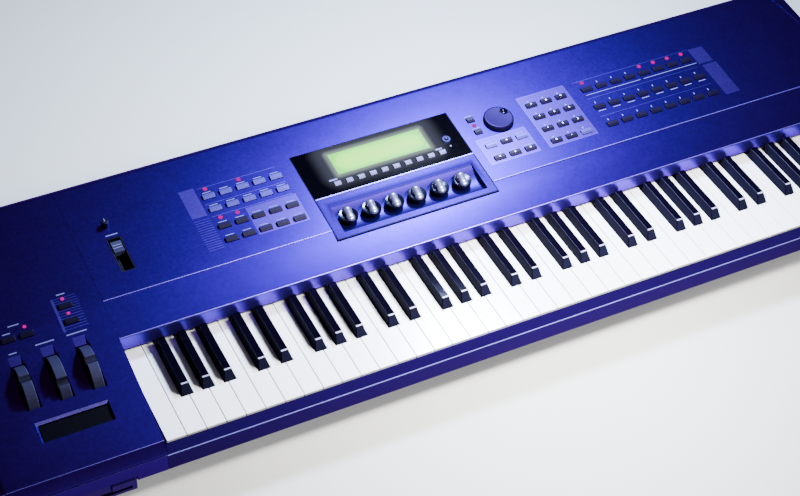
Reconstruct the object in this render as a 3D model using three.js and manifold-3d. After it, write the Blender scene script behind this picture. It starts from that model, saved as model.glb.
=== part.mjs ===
// A seventy-six-key synthesizer: a sheet-metal panel and tray between two moulded ends, with a
// hinged keyboard, three wheels, a volume slider, eight rotary controls, a data dial, a lit display,
// moulded strips of push buttons and a disk drive under the left end.
//
// All sizes are in millimetres. The keyboard frame has x = 0 at the left side of the first white key,
// y = 0 at the front edge of the white keys and z = 0 at their top. The exported group moves that
// frame so that the origin is on the table, under the middle of the case.
import * as THREE from 'three';
import { ConvexGeometry } from 'three/addons/geometries/ConvexGeometry.js';
import * as BufferGeometryUtils from 'three/addons/utils/BufferGeometryUtils.js';
import Module from 'manifold-3d';

const wasm = await Module();
wasm.setup();

// ---- Driving dimensions -------------------------------------------------------------------------

// Case
const CASE_LEFT = -187;
const CASE_RIGHT = 1065;
const CASE_FRONT = -5;
const CASE_BACK = 390;
const KEY_TOP_HEIGHT = 70;
const FOOT_HEIGHT = 8;
const FLOOR_Z = FOOT_HEIGHT - KEY_TOP_HEIGHT;
const COVER_BOTTOM_Z = -42;
const GAP = 0.3;
const SHEET = 2;
const MOULDED_WALL = 2.5;
const TRAY_SHEET = 1.5;
const END_ROUNDING = 9;
const BLOCK_RIGHT = -2;
const FLANGE_Z = 30;

// Side view of the case: front foot of the block, crease in the panel, back edge
const BLOCK_EDGE = [2, 0];
const CREASE = [197, 36];
const BACK_EDGE = [378, 54];
const LIP_Y = 142.5;
const LIP_BOTTOM_Z = 6;

// Keys
const KEY_PITCH = 23.5;
const KEY_GAP = 1;
const WHITE_COUNT = 45;
const WHITE_THICKNESS = 4;
const WHITE_LIP_DEPTH = 19;
const BLACK_FRONT_Y = 54.5;
const BLACK_TOP_FRONT_Y = 61;
const BLACK_BACK_Y = 139.6;
const BLACK_BASE_WIDTH = 13.7;
const BLACK_TOP_WIDTH = 8.8;
const BLACK_HEIGHT = 12;
const BLACK_CLEARANCE = 0.8;
const KEY_BACK_Y = 200;

// Push buttons
const BUTTON_PITCH = 22.2;
const BUTTON_WIDTH = 15.6;
const NARROW_BUTTON_WIDTH = 9.6;
const BUTTON_DEPTH = 7.8;
const BUTTON_RISE = 2.4;
const BUTTON_CLEARANCE = 0.5;
const WEB_TOP = -4.5;
const WEB_THICKNESS = 1.5;

// ---- Small geometry tools -----------------------------------------------------------------------

// A three.js geometry as a solid that can be joined and cut.
function solid(geometry) {
  const bare = geometry.clone();
  bare.deleteAttribute('normal');
  bare.deleteAttribute('uv');
  const merged = BufferGeometryUtils.mergeVertices(bare);
  const vertProperties = new Float32Array(merged.attributes.position.array);
  const triVerts = new Uint32Array(merged.index.array);
  return new wasm.Manifold(new wasm.Mesh({ numProp: 3, vertProperties, triVerts }));
}

// A solid back as a three.js geometry.
function geometryOf(manifold) {
  const mesh = manifold.getMesh();
  const geometry = new THREE.BufferGeometry();
  geometry.setAttribute('position', new THREE.BufferAttribute(mesh.vertProperties, 3));
  geometry.setIndex(new THREE.BufferAttribute(mesh.triVerts, 1));
  return geometry;
}

function box(x0, x1, y0, y1, z0, z1) {
  const geometry = new THREE.BoxGeometry(x1 - x0, y1 - y0, z1 - z0);
  return solid(geometry.translate((x0 + x1) / 2, (y0 + y1) / 2, (z0 + z1) / 2));
}

// A round bar along one axis, given by its two ends on that axis.
function bar(axis, radius, [x, y, z], length, sides = 24) {
  const geometry = new THREE.CylinderGeometry(radius, radius, length, sides);
  if (axis === 'x') geometry.rotateZ(Math.PI / 2);
  if (axis === 'z') geometry.rotateX(Math.PI / 2);
  return solid(geometry.translate(x, y, z));
}

// A closed outline of [y, z] points, extruded along x.
function extrudeX(outline, x0, x1) {
  const shape = new THREE.Shape(outline.map(([y, z]) => new THREE.Vector2(y, z)));
  const geometry = new THREE.ExtrudeGeometry(shape, { depth: x1 - x0, bevelEnabled: false });
  const toYZ = new THREE.Matrix4().makeBasis(
    new THREE.Vector3(0, 1, 0), new THREE.Vector3(0, 0, 1), new THREE.Vector3(1, 0, 0));
  return solid(geometry.applyMatrix4(toYZ).translate(x0, 0, 0));
}

// A closed outline of [x, y] points, extruded along z.
function extrudeZ(outline, z0, z1) {
  const shape = new THREE.Shape(outline.map(([x, y]) => new THREE.Vector2(x, y)));
  const geometry = new THREE.ExtrudeGeometry(shape, { depth: z1 - z0, bevelEnabled: false });
  return solid(geometry.translate(0, 0, z0));
}

function hull(points) {
  return solid(new ConvexGeometry(points.map(([x, y, z]) => new THREE.Vector3(x, y, z))));
}

// The open line of [y, z] points moved sideways, to the right of its direction for a positive distance.
function offsetLine(line, distance) {
  const normals = line.slice(1).map(([y, z], i) => {
    const along = new THREE.Vector2(y - line[i][0], z - line[i][1]).normalize();
    return new THREE.Vector2(along.y, -along.x);
  });
  return line.map(([y, z], i) => {
    const before = normals[Math.max(i - 1, 0)];
    const after = normals[Math.min(i, normals.length - 1)];
    const middle = before.clone().add(after).normalize();
    const reach = distance / middle.dot(after);
    return [y + middle.x * reach, z + middle.y * reach];
  });
}

// Bent sheet: the area between an open line and the same line offset by the sheet's thickness.
function bentSheet(line, thickness, x0, x1) {
  return extrudeX([...line, ...offsetLine(line, thickness).reverse()], x0, x1);
}

// A body through a row of sections at rising x. Each is [x, closed clockwise outline of [y, z] points],
// and all outlines have as many points.
function loft(sections) {
  const count = sections[0][1].length;
  const positions = sections.flatMap(([x, outline]) => outline.flatMap(([y, z]) => [x, y, z]));
  const index = [];
  for (let s = 0; s < sections.length - 1; s += 1) {
    for (let i = 0; i < count; i += 1) {
      const a = s * count + i;
      const b = s * count + ((i + 1) % count);
      index.push(a, a + count, b + count, a, b + count, b);
    }
  }
  const last = (sections.length - 1) * count;
  const flat = sections[0][1].map(([y, z]) => new THREE.Vector2(y, z));
  THREE.ShapeUtils.triangulateShape(flat, []).forEach((corners) => {
    const clockwise = THREE.ShapeUtils.isClockWise(corners.map((i) => flat[i]));
    const [a, b, c] = clockwise ? corners : corners.toReversed();
    index.push(a, b, c, last + c, last + b, last + a);
  });
  const geometry = new THREE.BufferGeometry();
  geometry.setAttribute('position', new THREE.BufferAttribute(new Float32Array(positions), 3));
  geometry.setIndex(index);
  return solid(geometry);
}

// ---- Frames that lie in the sloping panels ------------------------------------------------------

// A frame whose u axis is x, whose v axis runs up the slope from one [y, z] point towards another,
// and whose w axis stands square out of the surface.
function slopeFrame(from, to) {
  const frame = new THREE.Group();
  frame.position.set(0, from[0], from[1]);
  frame.rotation.x = Math.atan2(to[1] - from[1], to[0] - from[0]);
  frame.updateMatrix();
  return frame;
}

const TRAY_FRONT_EDGE = [180.4, 33.9];
const TRAY_BACK_EDGE = [250, 41.5];
const keyboard = new THREE.Group();
const upperPanel = slopeFrame(CREASE, BACK_EDGE);
const lowerPanel = slopeFrame(BLOCK_EDGE, CREASE);
const trayFrame = slopeFrame(TRAY_FRONT_EDGE, TRAY_BACK_EDGE);
const SCENE_FRONT = [184.5, 33.7];
const SCENE_BACK = [206.8, 37];
const sceneFrame = slopeFrame(SCENE_FRONT, SCENE_BACK);
keyboard.add(upperPanel, lowerPanel, trayFrame, sceneFrame);

// Distance up the slope of a frame for a given y.
const upSlope = (frame, y) => (y - frame.position.y) / Math.cos(frame.rotation.x);

// A solid made in a frame's own axes, as a solid in the keyboard's axes.
const placed = (manifold, frame) => solid(geometryOf(manifold).applyMatrix4(frame.matrix));

// ---- Materials ----------------------------------------------------------------------------------

const material = (color, roughness, metalness = 0) =>
  new THREE.MeshStandardMaterial({ color, roughness, metalness });
const BLUE_PAINT = material(0x2a2f9c, 0.38, 0.3);
const BLACK_STEEL = material(0x111114, 0.5, 0.4);
const WHITE_KEY = material(0xe8ecec, 0.25);
const BLACK_KEY = material(0x0a0a0e, 0.15);
const DARK_BUTTON = material(0x22242e, 0.45);
const GREY_BUTTON = material(0x7a7f9c, 0.45);
const PALE_BUTTON = material(0xb8bce0, 0.4);
const SILVER_BLUE = material(0x5a62a0, 0.35, 0.5);
const BLACK_PLASTIC = material(0x08080c, 0.3);
const WHEEL_RUBBER = material(0x2c2c38, 0.6);
const GLASS_BLACK = material(0x030304, 0.05);
const DISPLAY_GREEN = material(0xc4f07a, 0.4);
const RUBBER = material(0x141414, 0.9);
const BARE_STEEL = material(0x9a9a9a, 0.4, 0.9);
const CIRCUIT_GREEN = material(0x1d5a34, 0.6);

function add(parent, name, manifold, look) {
  const mesh = new THREE.Mesh(geometryOf(manifold), look);
  mesh.name = name;
  parent.add(mesh);
  return mesh;
}

// ---- Case ---------------------------------------------------------------------------------------

const BACK_BEND = [[386, 50.5], [CASE_BACK, 43]];
const blockLine = (bottom) => [
  [CASE_FRONT, bottom], [CASE_FRONT, -15], BLOCK_EDGE, CREASE, BACK_EDGE, ...BACK_BEND, [CASE_BACK, bottom],
];

// The right-hand seam between panel and end cheek: straight beside the keys, then a long arc.
const SEAM_X = 1058.2;
const SEAM_ARC_START_Y = 190;
const SEAM_ARC_RADIUS = 966;
function seamLine(shift) {
  const points = [[SEAM_X + shift, CASE_FRONT - 1]];
  const steps = 6;
  for (let i = 0; i <= steps; i += 1) {
    const run = ((CASE_BACK + 1 - SEAM_ARC_START_Y) * i) / steps;
    points.push([SEAM_X + shift - run ** 2 / (2 * SEAM_ARC_RADIUS), SEAM_ARC_START_Y + run]);
  }
  return points;
}

// End mouldings have their outer top edge rounded: sections shrink towards the outer side.
function roundedEnd(line, outerX, innerX, shrink) {
  const towards = Math.sign(innerX - outerX);
  const steps = 4;
  const sections = [];
  for (let i = 0; i <= steps; i += 1) {
    const angle = (Math.PI / 2) * (i / steps);
    const inset = shrink + END_ROUNDING * (1 - Math.sin(angle));
    const x = outerX + towards * (shrink + END_ROUNDING * (1 - Math.cos(angle)));
    sections.push([x, offsetLine(line, inset)]);
  }
  sections.push([innerX, offsetLine(line, shrink)]);
  return loft(towards > 0 ? sections : sections.reverse());
}

const WHEEL_PITCH = 37.5;
const WHEEL_X = [0, 1, 2].map((i) => -118.5 + i * WHEEL_PITCH);
const WHEEL_RADIUS = 34;
const WHEEL_WIDTH = 12.6;
const WHEEL_SLOT_WIDTH = 18;
const WHEEL_SLOT_LENGTH = 62;
const WHEEL_SINK = 19;
const WHEEL_V = 120;
const RIBBON = { x0: -119.4, x1: -42.2, y0: 46, y1: 67 };
const OCTAVE_Y = 184.5;
const OCTAVE_X = [-117.6, -96.2];
const SCENE_X = -43.4;
const DRIVE = { x0: -139.5, x1: -38.5, z0: -59.5, z1: -35.8 };

const hole = (x, v, halfWidth, halfDepth) =>
  box(x - halfWidth, x + halfWidth, v - halfDepth, v + halfDepth, -12, 6);
const buttonHole = (x, v, width = BUTTON_WIDTH) =>
  hole(x, v, width / 2 + BUTTON_CLEARANCE, BUTTON_DEPTH / 2 + BUTTON_CLEARANCE);
const cutAll = (body, cutters) => cutters.reduce((rest, cutter) => rest.subtract(cutter), body);

function leftBlockCover() {
  const outer = roundedEnd(blockLine(COVER_BOTTOM_Z), CASE_LEFT, BLOCK_RIGHT, 0);
  const cavityLine = blockLine(COVER_BOTTOM_Z - 8);
  const cavity = roundedEnd(cavityLine, CASE_LEFT, BLOCK_RIGHT - MOULDED_WALL, MOULDED_WALL);
  const openBack = box(CASE_LEFT - 1, BLOCK_RIGHT + 1, 380, CASE_BACK + 1, -60, FLANGE_Z);
  const groove = box(CASE_LEFT - 1, BLOCK_RIGHT + 1, CASE_FRONT - 1, CASE_FRONT + 1.4, -19, -15);
  const driveNotch = box(DRIVE.x0 - 0.7, DRIVE.x1 + 0.7, -9, 6, -60, DRIVE.z1 + GAP);
  const wheelSlots = WHEEL_X.map((x) =>
    placed(hole(x, WHEEL_V, WHEEL_SLOT_WIDTH / 2, WHEEL_SLOT_LENGTH / 2), lowerPanel));
  const bevelRun = 6.4;
  const bevelDrop = 6;
  const surface = (y) => ((y - BLOCK_EDGE[0]) * CREASE[1]) / (CREASE[0] - BLOCK_EDGE[0]);
  const corner = (x, y, drop) => [x, y, surface(y) - drop];
  const recess = hull([
    corner(RIBBON.x0, RIBBON.y0, bevelDrop), corner(RIBBON.x1, RIBBON.y0, bevelDrop),
    corner(RIBBON.x0, RIBBON.y1, bevelDrop), corner(RIBBON.x1, RIBBON.y1, bevelDrop),
    corner(RIBBON.x0 - bevelRun, RIBBON.y0, -1), corner(RIBBON.x1 + 1, RIBBON.y0, -1),
    corner(RIBBON.x0 - bevelRun, RIBBON.y1 + bevelRun, -1), corner(RIBBON.x1 + 1, RIBBON.y1 + bevelRun, -1),
  ]);
  const octaveHoles = OCTAVE_X.map((x) => placed(buttonHole(x, upSlope(lowerPanel, OCTAVE_Y)), lowerPanel));
  const sceneHoles = [SCENE_FRONT, SCENE_BACK].map(([y]) =>
    placed(buttonHole(SCENE_X, upSlope(sceneFrame, y)), sceneFrame));
  return cutAll(outer, [cavity, openBack, groove, driveNotch, ...wheelSlots, recess, ...octaveHoles,
    ...sceneHoles]);
}

function rightEndCheek() {
  const outer = roundedEnd(blockLine(COVER_BOTTOM_Z), CASE_RIGHT, 1020, 0);
  const plan = extrudeZ([[CASE_RIGHT + 1, CASE_FRONT - 1], [CASE_RIGHT + 1, CASE_BACK + 1],
    ...seamLine(0).reverse()], -70, 80);
  const cavityLine = blockLine(COVER_BOTTOM_Z - 8);
  const hollow = roundedEnd(cavityLine, CASE_RIGHT, 1020, MOULDED_WALL);
  const behindKeys = box(1010, CASE_RIGHT, 172, CASE_BACK + 1, -70, 80);
  const openBack = box(1010, CASE_RIGHT + 1, 380, CASE_BACK + 1, -60, FLANGE_Z);
  const groove = box(1010, CASE_RIGHT + 1, CASE_FRONT - 1, CASE_FRONT + 1.4, -19, -15);
  return cutAll(outer.intersect(plan), [hollow.intersect(behindKeys), openBack, groove]);
}

const DISPLAY_UNIT = { x0: 288, x1: 509, y0: 180, y1: 328 };
const SLIDER = { x0: 32.8, x1: 50.9, y0: 230, y1: 285 };
const trackV = [SLIDER.y0, SLIDER.y1].map((y) => upSlope(upperPanel, y));
const DIAL = { x: 566.2, y: 290.3, radius: 20, shaftRadius: 3 };
const GAIN_KNOB = { x: 39.5, y: 306, radius: 4.7 };
const buttonRow = (x0, count, y, pitch = BUTTON_PITCH) =>
  Array.from({ length: count }, (_, i) => [x0 + i * pitch, y]);
const BANKS = {
  mode_keys: { look: GREY_BUTTON, at: [...buttonRow(171.4, 5, 304.4), ...buttonRow(171.6, 5, 282.4)] },
  effect_keys: { look: DARK_BUTTON, at: [...buttonRow(171.6, 5, 253), ...buttonRow(171.6, 5, 230.4)] },
  dial_keys: { look: DARK_BUTTON, width: NARROW_BUTTON_WIDTH, at: [[532, 303.4], [532, 280.6]] },
  cursor_keys: { look: DARK_BUTTON, at: [...buttonRow(536.2, 3, 253), ...buttonRow(536.8, 3, 230.2)] },
  keypad_keys: {
    look: DARK_BUTTON,
    at: [298.4, 275.6, 252.8, 230].flatMap((y) => buttonRow(619.4, 3, y)),
  },
  program_keys: { look: DARK_BUTTON, at: [297.8, 263.6, 230].flatMap((y) => buttonRow(703.6, 8, y)) },
};

function topPanel() {
  const line = [[LIP_Y, LIP_BOTTOM_Z], [LIP_Y, 24.4], [LIP_Y + 2, 26.3], CREASE, BACK_EDGE, ...BACK_BEND,
    [CASE_BACK, FLANGE_Z]];
  const sheet = bentSheet(line, SHEET, BLOCK_RIGHT + GAP, CASE_RIGHT);
  const plan = extrudeZ([[BLOCK_RIGHT - 2, CASE_FRONT - 1], ...seamLine(-GAP),
    [BLOCK_RIGHT - 2, CASE_BACK + 1]], -70, 80);
  const { x0, x1, y0, y1 } = DISPLAY_UNIT;
  const displayOpening = box(x0, x1, y0, y1, 0, 80);
  const sliderOpening = placed(box(SLIDER.x0, SLIDER.x1, trackV[0], trackV[1], -12, 6), upperPanel);
  const shaftHoles = [DIAL, GAIN_KNOB].map(({ x, y }) =>
    placed(bar('z', 3.6, [x, upSlope(upperPanel, y), 0], 20, 16), upperPanel));
  const buttonHoles = Object.values(BANKS).flatMap(({ at, width }) =>
    at.map(([x, y]) => placed(buttonHole(x, upSlope(upperPanel, y), width), upperPanel)));
  return cutAll(sheet.intersect(plan), [displayOpening, sliderOpening, ...shaftHoles, ...buttonHoles]);
}

function frontRail() {
  const outline = [[-1, -2.2], [-1.6, -2.2], [-4.2, -18.6], [CASE_FRONT, -19.6], [CASE_FRONT, COVER_BOTTOM_Z],
    [CASE_FRONT + SHEET, COVER_BOTTOM_Z], [CASE_FRONT + SHEET, -21], [-1, -16]];
  return extrudeX(outline, BLOCK_RIGHT + GAP, SEAM_X - GAP);
}

function bottomTray() {
  const left = CASE_LEFT + END_ROUNDING + MOULDED_WALL + GAP;
  const right = CASE_RIGHT - 8;
  const back = CASE_BACK - 6.5;
  const wallTop = COVER_BOTTOM_Z - 2;
  const line = [[-2.3, wallTop], [20, FLOOR_Z], [back, FLOOR_Z], [back, wallTop]];
  const pan = bentSheet(line, -TRAY_SHEET, left, right);
  const endWalls = [[left, left + TRAY_SHEET], [right - TRAY_SHEET, right]].map(([a, b]) =>
    extrudeX(line, a, b));
  const driveOpening = box(DRIVE.x0 - 0.7, DRIVE.x1 + 0.7, -9, 22, FLOOR_Z + TRAY_SHEET, -30);
  return cutAll(endWalls.reduce((all, wall) => all.add(wall), pan), [driveOpening]);
}

const REAR = { y0: CASE_BACK - 5.5, y1: CASE_BACK - 3.5, z0: -60.2, z1: FLANGE_Z - GAP };
const JACK_Z = -28;
const JACK_X = Array.from({ length: 8 }, (_, i) => 90 + i * 34);
const DIN_X = [400, 440, 480];
const INLET = { x: 985, z: -30, width: 28, height: 21 };
const SWITCH = { x: 930, z: -30, width: 13, height: 19, pivotY: CASE_BACK - 7 };

function rearPanel() {
  const plate = box(CASE_LEFT + 4, CASE_RIGHT - 4, REAR.y0, REAR.y1, REAR.z0, REAR.z1);
  const rounds = [
    ...JACK_X.map((x) => bar('y', 6.4, [x, REAR.y0, JACK_Z], 20, 16)),
    ...DIN_X.map((x) => bar('y', 9, [x, REAR.y0, JACK_Z], 20, 20)),
  ];
  const squares = [INLET, SWITCH].map(({ x, z, width, height }) => {
    const [halfWidth, halfHeight] = [width / 2 + GAP, height / 2 + GAP];
    return box(x - halfWidth, x + halfWidth, 370, CASE_BACK, z - halfHeight, z + halfHeight);
  });
  return cutAll(plate, [...rounds, ...squares]);
}

add(keyboard, 'left_block_cover', leftBlockCover(), BLUE_PAINT);
add(keyboard, 'right_end_cheek', rightEndCheek(), BLUE_PAINT);
add(keyboard, 'top_panel', topPanel(), BLUE_PAINT);
add(keyboard, 'front_rail', frontRail(), BLUE_PAINT);
add(keyboard, 'bottom_tray', bottomTray(), BLACK_STEEL);
add(keyboard, 'rear_panel', rearPanel(), BLACK_STEEL);

[[-150, 40], [1030, 40], [-150, 355], [1030, 355]].forEach(([x, y], i) => {
  const height = FOOT_HEIGHT - GAP;
  const foot = bar('z', 11, [x, y, -KEY_TOP_HEIGHT + height / 2], height, 20);
  add(keyboard, `foot_${i + 1}`, foot, RUBBER);
});

// ---- Keyboard -----------------------------------------------------------------------------------

// Number of the note within its octave, counted in white keys from C, of the first white key (an E).
const FIRST_NOTE = 2;
const WHITES_PER_OCTAVE = 7;
// Centre of each black key from the line between its two white keys, by the white key to its left.
const BLACK_SHIFT = { 0: -2.6, 1: 2.1, 3: -2.1, 4: 0, 5: 2.7 };
const noteOf = (white) => (white + FIRST_NOTE) % WHITES_PER_OCTAVE;
const blackAfter = (white) => noteOf(white) in BLACK_SHIFT && white < WHITE_COUNT - 1;
const blackX = (white) => (white + 1) * KEY_PITCH + BLACK_SHIFT[noteOf(white)];

// Octave sets: from each C to the B above it, with the part sets at the two ends.
const octaveStarts = [0];
for (let white = 1; white < WHITE_COUNT; white += 1) {
  if (noteOf(white) === 0) octaveStarts.push(white);
}
const octaveSets = octaveStarts.map((first, i) => {
  const end = octaveStarts[i + 1] ?? WHITE_COUNT;
  return Array.from({ length: end - first }, (_, k) => first + k);
});

function whiteSet(whites) {
  const left = whites[0] * KEY_PITCH + KEY_GAP / 2;
  const right = (whites.at(-1) + 1) * KEY_PITCH - KEY_GAP / 2;
  let comb = box(left, right, 0, KEY_BACK_Y, -WHITE_THICKNESS, 0);
  comb = comb.add(box(left, right, 0, 2.5, -WHITE_LIP_DEPTH, 0));
  comb = comb.add(box(left, right, 180, KEY_BACK_Y, -5, 0));
  const slits = whites.slice(1).map((white) =>
    box(white * KEY_PITCH - KEY_GAP / 2, white * KEY_PITCH + KEY_GAP / 2, -1, 180, -30, 1));
  const half = BLACK_BASE_WIDTH / 2 + BLACK_CLEARANCE;
  const neighbours = [whites[0] - 1, ...whites].filter((white) => white >= 0 && blackAfter(white));
  const notches = neighbours.map((white) =>
    box(blackX(white) - half, blackX(white) + half, BLACK_FRONT_Y - 1.3, 180, -30, 1));
  return cutAll(comb, [...slits, ...notches]);
}

function blackKey(x) {
  const cap = hull([
    [x - BLACK_BASE_WIDTH / 2, BLACK_FRONT_Y, -2], [x + BLACK_BASE_WIDTH / 2, BLACK_FRONT_Y, -2],
    [x - BLACK_BASE_WIDTH / 2, BLACK_FRONT_Y, 0], [x + BLACK_BASE_WIDTH / 2, BLACK_FRONT_Y, 0],
    [x - BLACK_BASE_WIDTH / 2, BLACK_BACK_Y, -2], [x + BLACK_BASE_WIDTH / 2, BLACK_BACK_Y, -2],
    [x - BLACK_TOP_WIDTH / 2, BLACK_TOP_FRONT_Y, BLACK_HEIGHT],
    [x + BLACK_TOP_WIDTH / 2, BLACK_TOP_FRONT_Y, BLACK_HEIGHT],
    [x - BLACK_TOP_WIDTH / 2, BLACK_BACK_Y, BLACK_HEIGHT],
    [x + BLACK_TOP_WIDTH / 2, BLACK_BACK_Y, BLACK_HEIGHT],
  ]);
  const body = box(x - 5.8, x + 5.8, BLACK_FRONT_Y + 2, BLACK_BACK_Y, -9, -1);
  const shank = box(x - 5, x + 5, BLACK_BACK_Y - 8, 177, -9, 3.5);
  return cap.add(body).add(shank);
}

function blackSet(xs) {
  const bridge = box(xs[0] - 5, xs.at(-1) + 5, 172, KEY_BACK_Y - 4, 2.6, 7);
  return xs.reduce((all, x) => all.add(blackKey(x)), bridge);
}

octaveSets.forEach((whites, i) => {
  add(keyboard, `white_keys_${i + 1}`, whiteSet(whites), WHITE_KEY);
  add(keyboard, `black_keys_${i + 1}`, blackSet(whites.filter(blackAfter).map(blackX)), BLACK_KEY);
});

const chassisLine = [[24, -60], [24, -30], [184, -30], [184, -9], [204, -9], [204, -60]];
add(keyboard, 'key_chassis', bentSheet(chassisLine, 1.6, 3, 1054), BARE_STEEL);

// ---- Wheels, ribbon and disk drive in the left block --------------------------------------------

const wheelCentre = new THREE.Vector3(0, WHEEL_V, -WHEEL_SINK).applyMatrix4(lowerPanel.matrix);
const AXLE_RADIUS = 3;
const AXLE_LENGTH = 36.9;
const BRACKET = { y0: 104, y1: 144, baseZ: -34, wall: 3.6, top: 12 };

// Finger grip: a notch with its far side left standing, at an angle round the wheel from its top.
function wheel(x, gripAngle) {
  const { y, z } = wheelCentre;
  const disc = bar('x', WHEEL_RADIUS, [x, y, z], WHEEL_WIDTH, 48);
  const axle = bar('x', AXLE_RADIUS, [x, y, z], AXLE_LENGTH, 16);
  const reach = WHEEL_RADIUS + 4.5;
  const angle = THREE.MathUtils.degToRad(gripAngle);
  const notch = bar('x', 7, [x, y + reach * Math.sin(angle), z + reach * Math.cos(angle)], 20, 24);
  return disc.subtract(notch).add(axle);
}

[['pitch_wheel', -8], ['mod_wheel_1', -37], ['mod_wheel_2', -12]].forEach(([name, gripAngle], i) => {
  add(keyboard, name, wheel(WHEEL_X[i], gripAngle), WHEEL_RUBBER);
});

function wheelBracket() {
  const { y0, y1, baseZ, wall, top } = BRACKET;
  const centres = [WHEEL_X[0] - WHEEL_PITCH, ...WHEEL_X].map((x) => x + WHEEL_PITCH / 2);
  const base = box(centres[0] - wall / 2, centres.at(-1) + wall / 2, y0, y1, baseZ, baseZ + 2);
  const walls = centres.map((x) => box(x - wall / 2, x + wall / 2, y0, y1, baseZ, top));
  const bores = centres.map((x) =>
    bar('x', AXLE_RADIUS + GAP, [x, wheelCentre.y, wheelCentre.z], 20, 16));
  return cutAll(walls.reduce((all, piece) => all.add(piece), base), bores);
}
add(keyboard, 'wheel_bracket', wheelBracket(), BARE_STEEL);

const ribbonV = [RIBBON.y0 - 1, RIBBON.y1 + 1].map((y) => upSlope(lowerPanel, y));
const ribbon = box(RIBBON.x0 - 2, RIBBON.x1 + 2, ribbonV[0], ribbonV[1], -4.4, -MOULDED_WALL - GAP);
add(lowerPanel, 'ribbon_strip', ribbon, BLACK_PLASTIC);

const EJECT = { x0: -67.6, x1: -41.4, z0: -48.5, z1: -37.2, y0: CASE_FRONT, y1: 5 };
const DISK_SLOT = { x0: -134, x1: -44, z0: -55.4, z1: -50.6, depth: 92 };
function floppyDrive() {
  const { x0, x1, z0, z1 } = DRIVE;
  const body = box(x0, x1, -2, 140, z0, z1);
  const slot = box(DISK_SLOT.x0, DISK_SLOT.x1, -3, DISK_SLOT.depth, DISK_SLOT.z0, DISK_SLOT.z1);
  const pocket = box(EJECT.x0 - 0.5, EJECT.x1 + 0.5, -3, 14, EJECT.z0 - 0.5, EJECT.z1 + 0.5);
  return cutAll(body, [slot, pocket]);
}
add(keyboard, 'floppy_drive', floppyDrive(), SILVER_BLUE);
add(keyboard, 'eject_button', box(EJECT.x0, EJECT.x1, EJECT.y0, EJECT.y1, EJECT.z0, EJECT.z1), SILVER_BLUE);

// ---- Display unit -------------------------------------------------------------------------------

const GLASS = { x0: 288.4, x1: 508.6, y0: 250.6, y1: 327.6, thickness: 3 };
const SOFT_KEYS = { x0: 326.8, pitch: 16.2, count: 10, y: 265.4, width: 8.6, depth: 6.4 };
const CONTRAST = { x: 487.2, y: 284, radius: 5.6 };
const LCD = { x0: 331.6, x1: 463, y0: 277.4, y1: 315.2 };

function displayWindow() {
  const [v0, v1] = [GLASS.y0, GLASS.y1].map((y) => upSlope(upperPanel, y));
  const plate = box(GLASS.x0, GLASS.x1, v0, v1, -GLASS.thickness, 0.3);
  const softV = upSlope(upperPanel, SOFT_KEYS.y);
  const holes = buttonRow(SOFT_KEYS.x0, SOFT_KEYS.count, softV, SOFT_KEYS.pitch).map(([x, v]) =>
    hole(x, v, SOFT_KEYS.width / 2 + 0.4, SOFT_KEYS.depth / 2 + 0.4));
  const contrastSpot = [CONTRAST.x, upSlope(upperPanel, CONTRAST.y), 0];
  const contrastHole = bar('z', CONTRAST.radius + 0.5, contrastSpot, 20, 24);
  return cutAll(plate, [...holes, contrastHole]);
}
add(upperPanel, 'display_window', displayWindow(), GLASS_BLACK);

const lcdV = [LCD.y0 - 3, LCD.y1 + 6].map((y) => upSlope(upperPanel, y));
const lcdTop = -GLASS.thickness - GAP;
const lcdBody = box(LCD.x0 - 6, LCD.x1 + 6, lcdV[0], lcdV[1], lcdTop - 7, lcdTop);
add(upperPanel, 'lcd_module', lcdBody, DISPLAY_GREEN);

const contrastKnob = bar('z', CONTRAST.radius, [CONTRAST.x, upSlope(upperPanel, CONTRAST.y), -0.5], 5, 24);
add(upperPanel, 'contrast_knob', contrastKnob, SILVER_BLUE);

const TONE_KNOBS = { x0: 317.4, pitch: 31.16, count: 6, y: 213, radius: 12, base: -3.8, top: 6.4 };
const TROUGH = { x0: 301.5, x1: 497.5, frontV: 9.6, backV: 55, deepest: -14, frontW: -4 };
const toneKnobV = upSlope(trayFrame, TONE_KNOBS.y);
const toneKnobX = Array.from({ length: TONE_KNOBS.count }, (_, i) => TONE_KNOBS.x0 + i * TONE_KNOBS.pitch);

function knobTray() {
  const vBack = upSlope(trayFrame, TRAY_BACK_EDGE[0]);
  const body = box(GLASS.x0, GLASS.x1, 0, vBack, -12, 0);
  const floor = new THREE.QuadraticBezierCurve(
    new THREE.Vector2(TROUGH.backV, 0), new THREE.Vector2(30, TROUGH.deepest),
    new THREE.Vector2(TROUGH.frontV, TROUGH.frontW)).getPoints(8);
  const outline = [...floor.map(({ x, y }) => [x, y]), [TROUGH.frontV, 1], [TROUGH.backV, 1]];
  const trough = extrudeX(outline, TROUGH.x0, TROUGH.x1);
  const shaftHoles = toneKnobX.map((x) => bar('z', 3.6, [x, toneKnobV, -6], 20, 16));
  return cutAll(body, [trough, ...shaftHoles]);
}
add(trayFrame, 'knob_tray', knobTray(), BLUE_PAINT);

// A round knob with two scooped sides that leave a grip bar across it, on its shaft.
function toneKnob(x) {
  const { radius, base, top } = TONE_KNOBS;
  const disc = bar('z', radius, [x, toneKnobV, (base + top) / 2], top - base, 32);
  const scoops = [-1, 1].map((side) =>
    bar('y', 8.5, [x + side * 14, toneKnobV, top + 1.5], 3 * radius, 20));
  const shaft = bar('z', 3, [x, toneKnobV, (base + 1 - 15) / 2], base + 1 + 15, 16);
  return cutAll(disc, scoops).add(shaft);
}
toneKnobX.forEach((x, i) => add(trayFrame, `tone_knob_${i + 1}`, toneKnob(x), SILVER_BLUE));

// ---- Dial, small knob and slider ----------------------------------------------------------------

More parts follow.
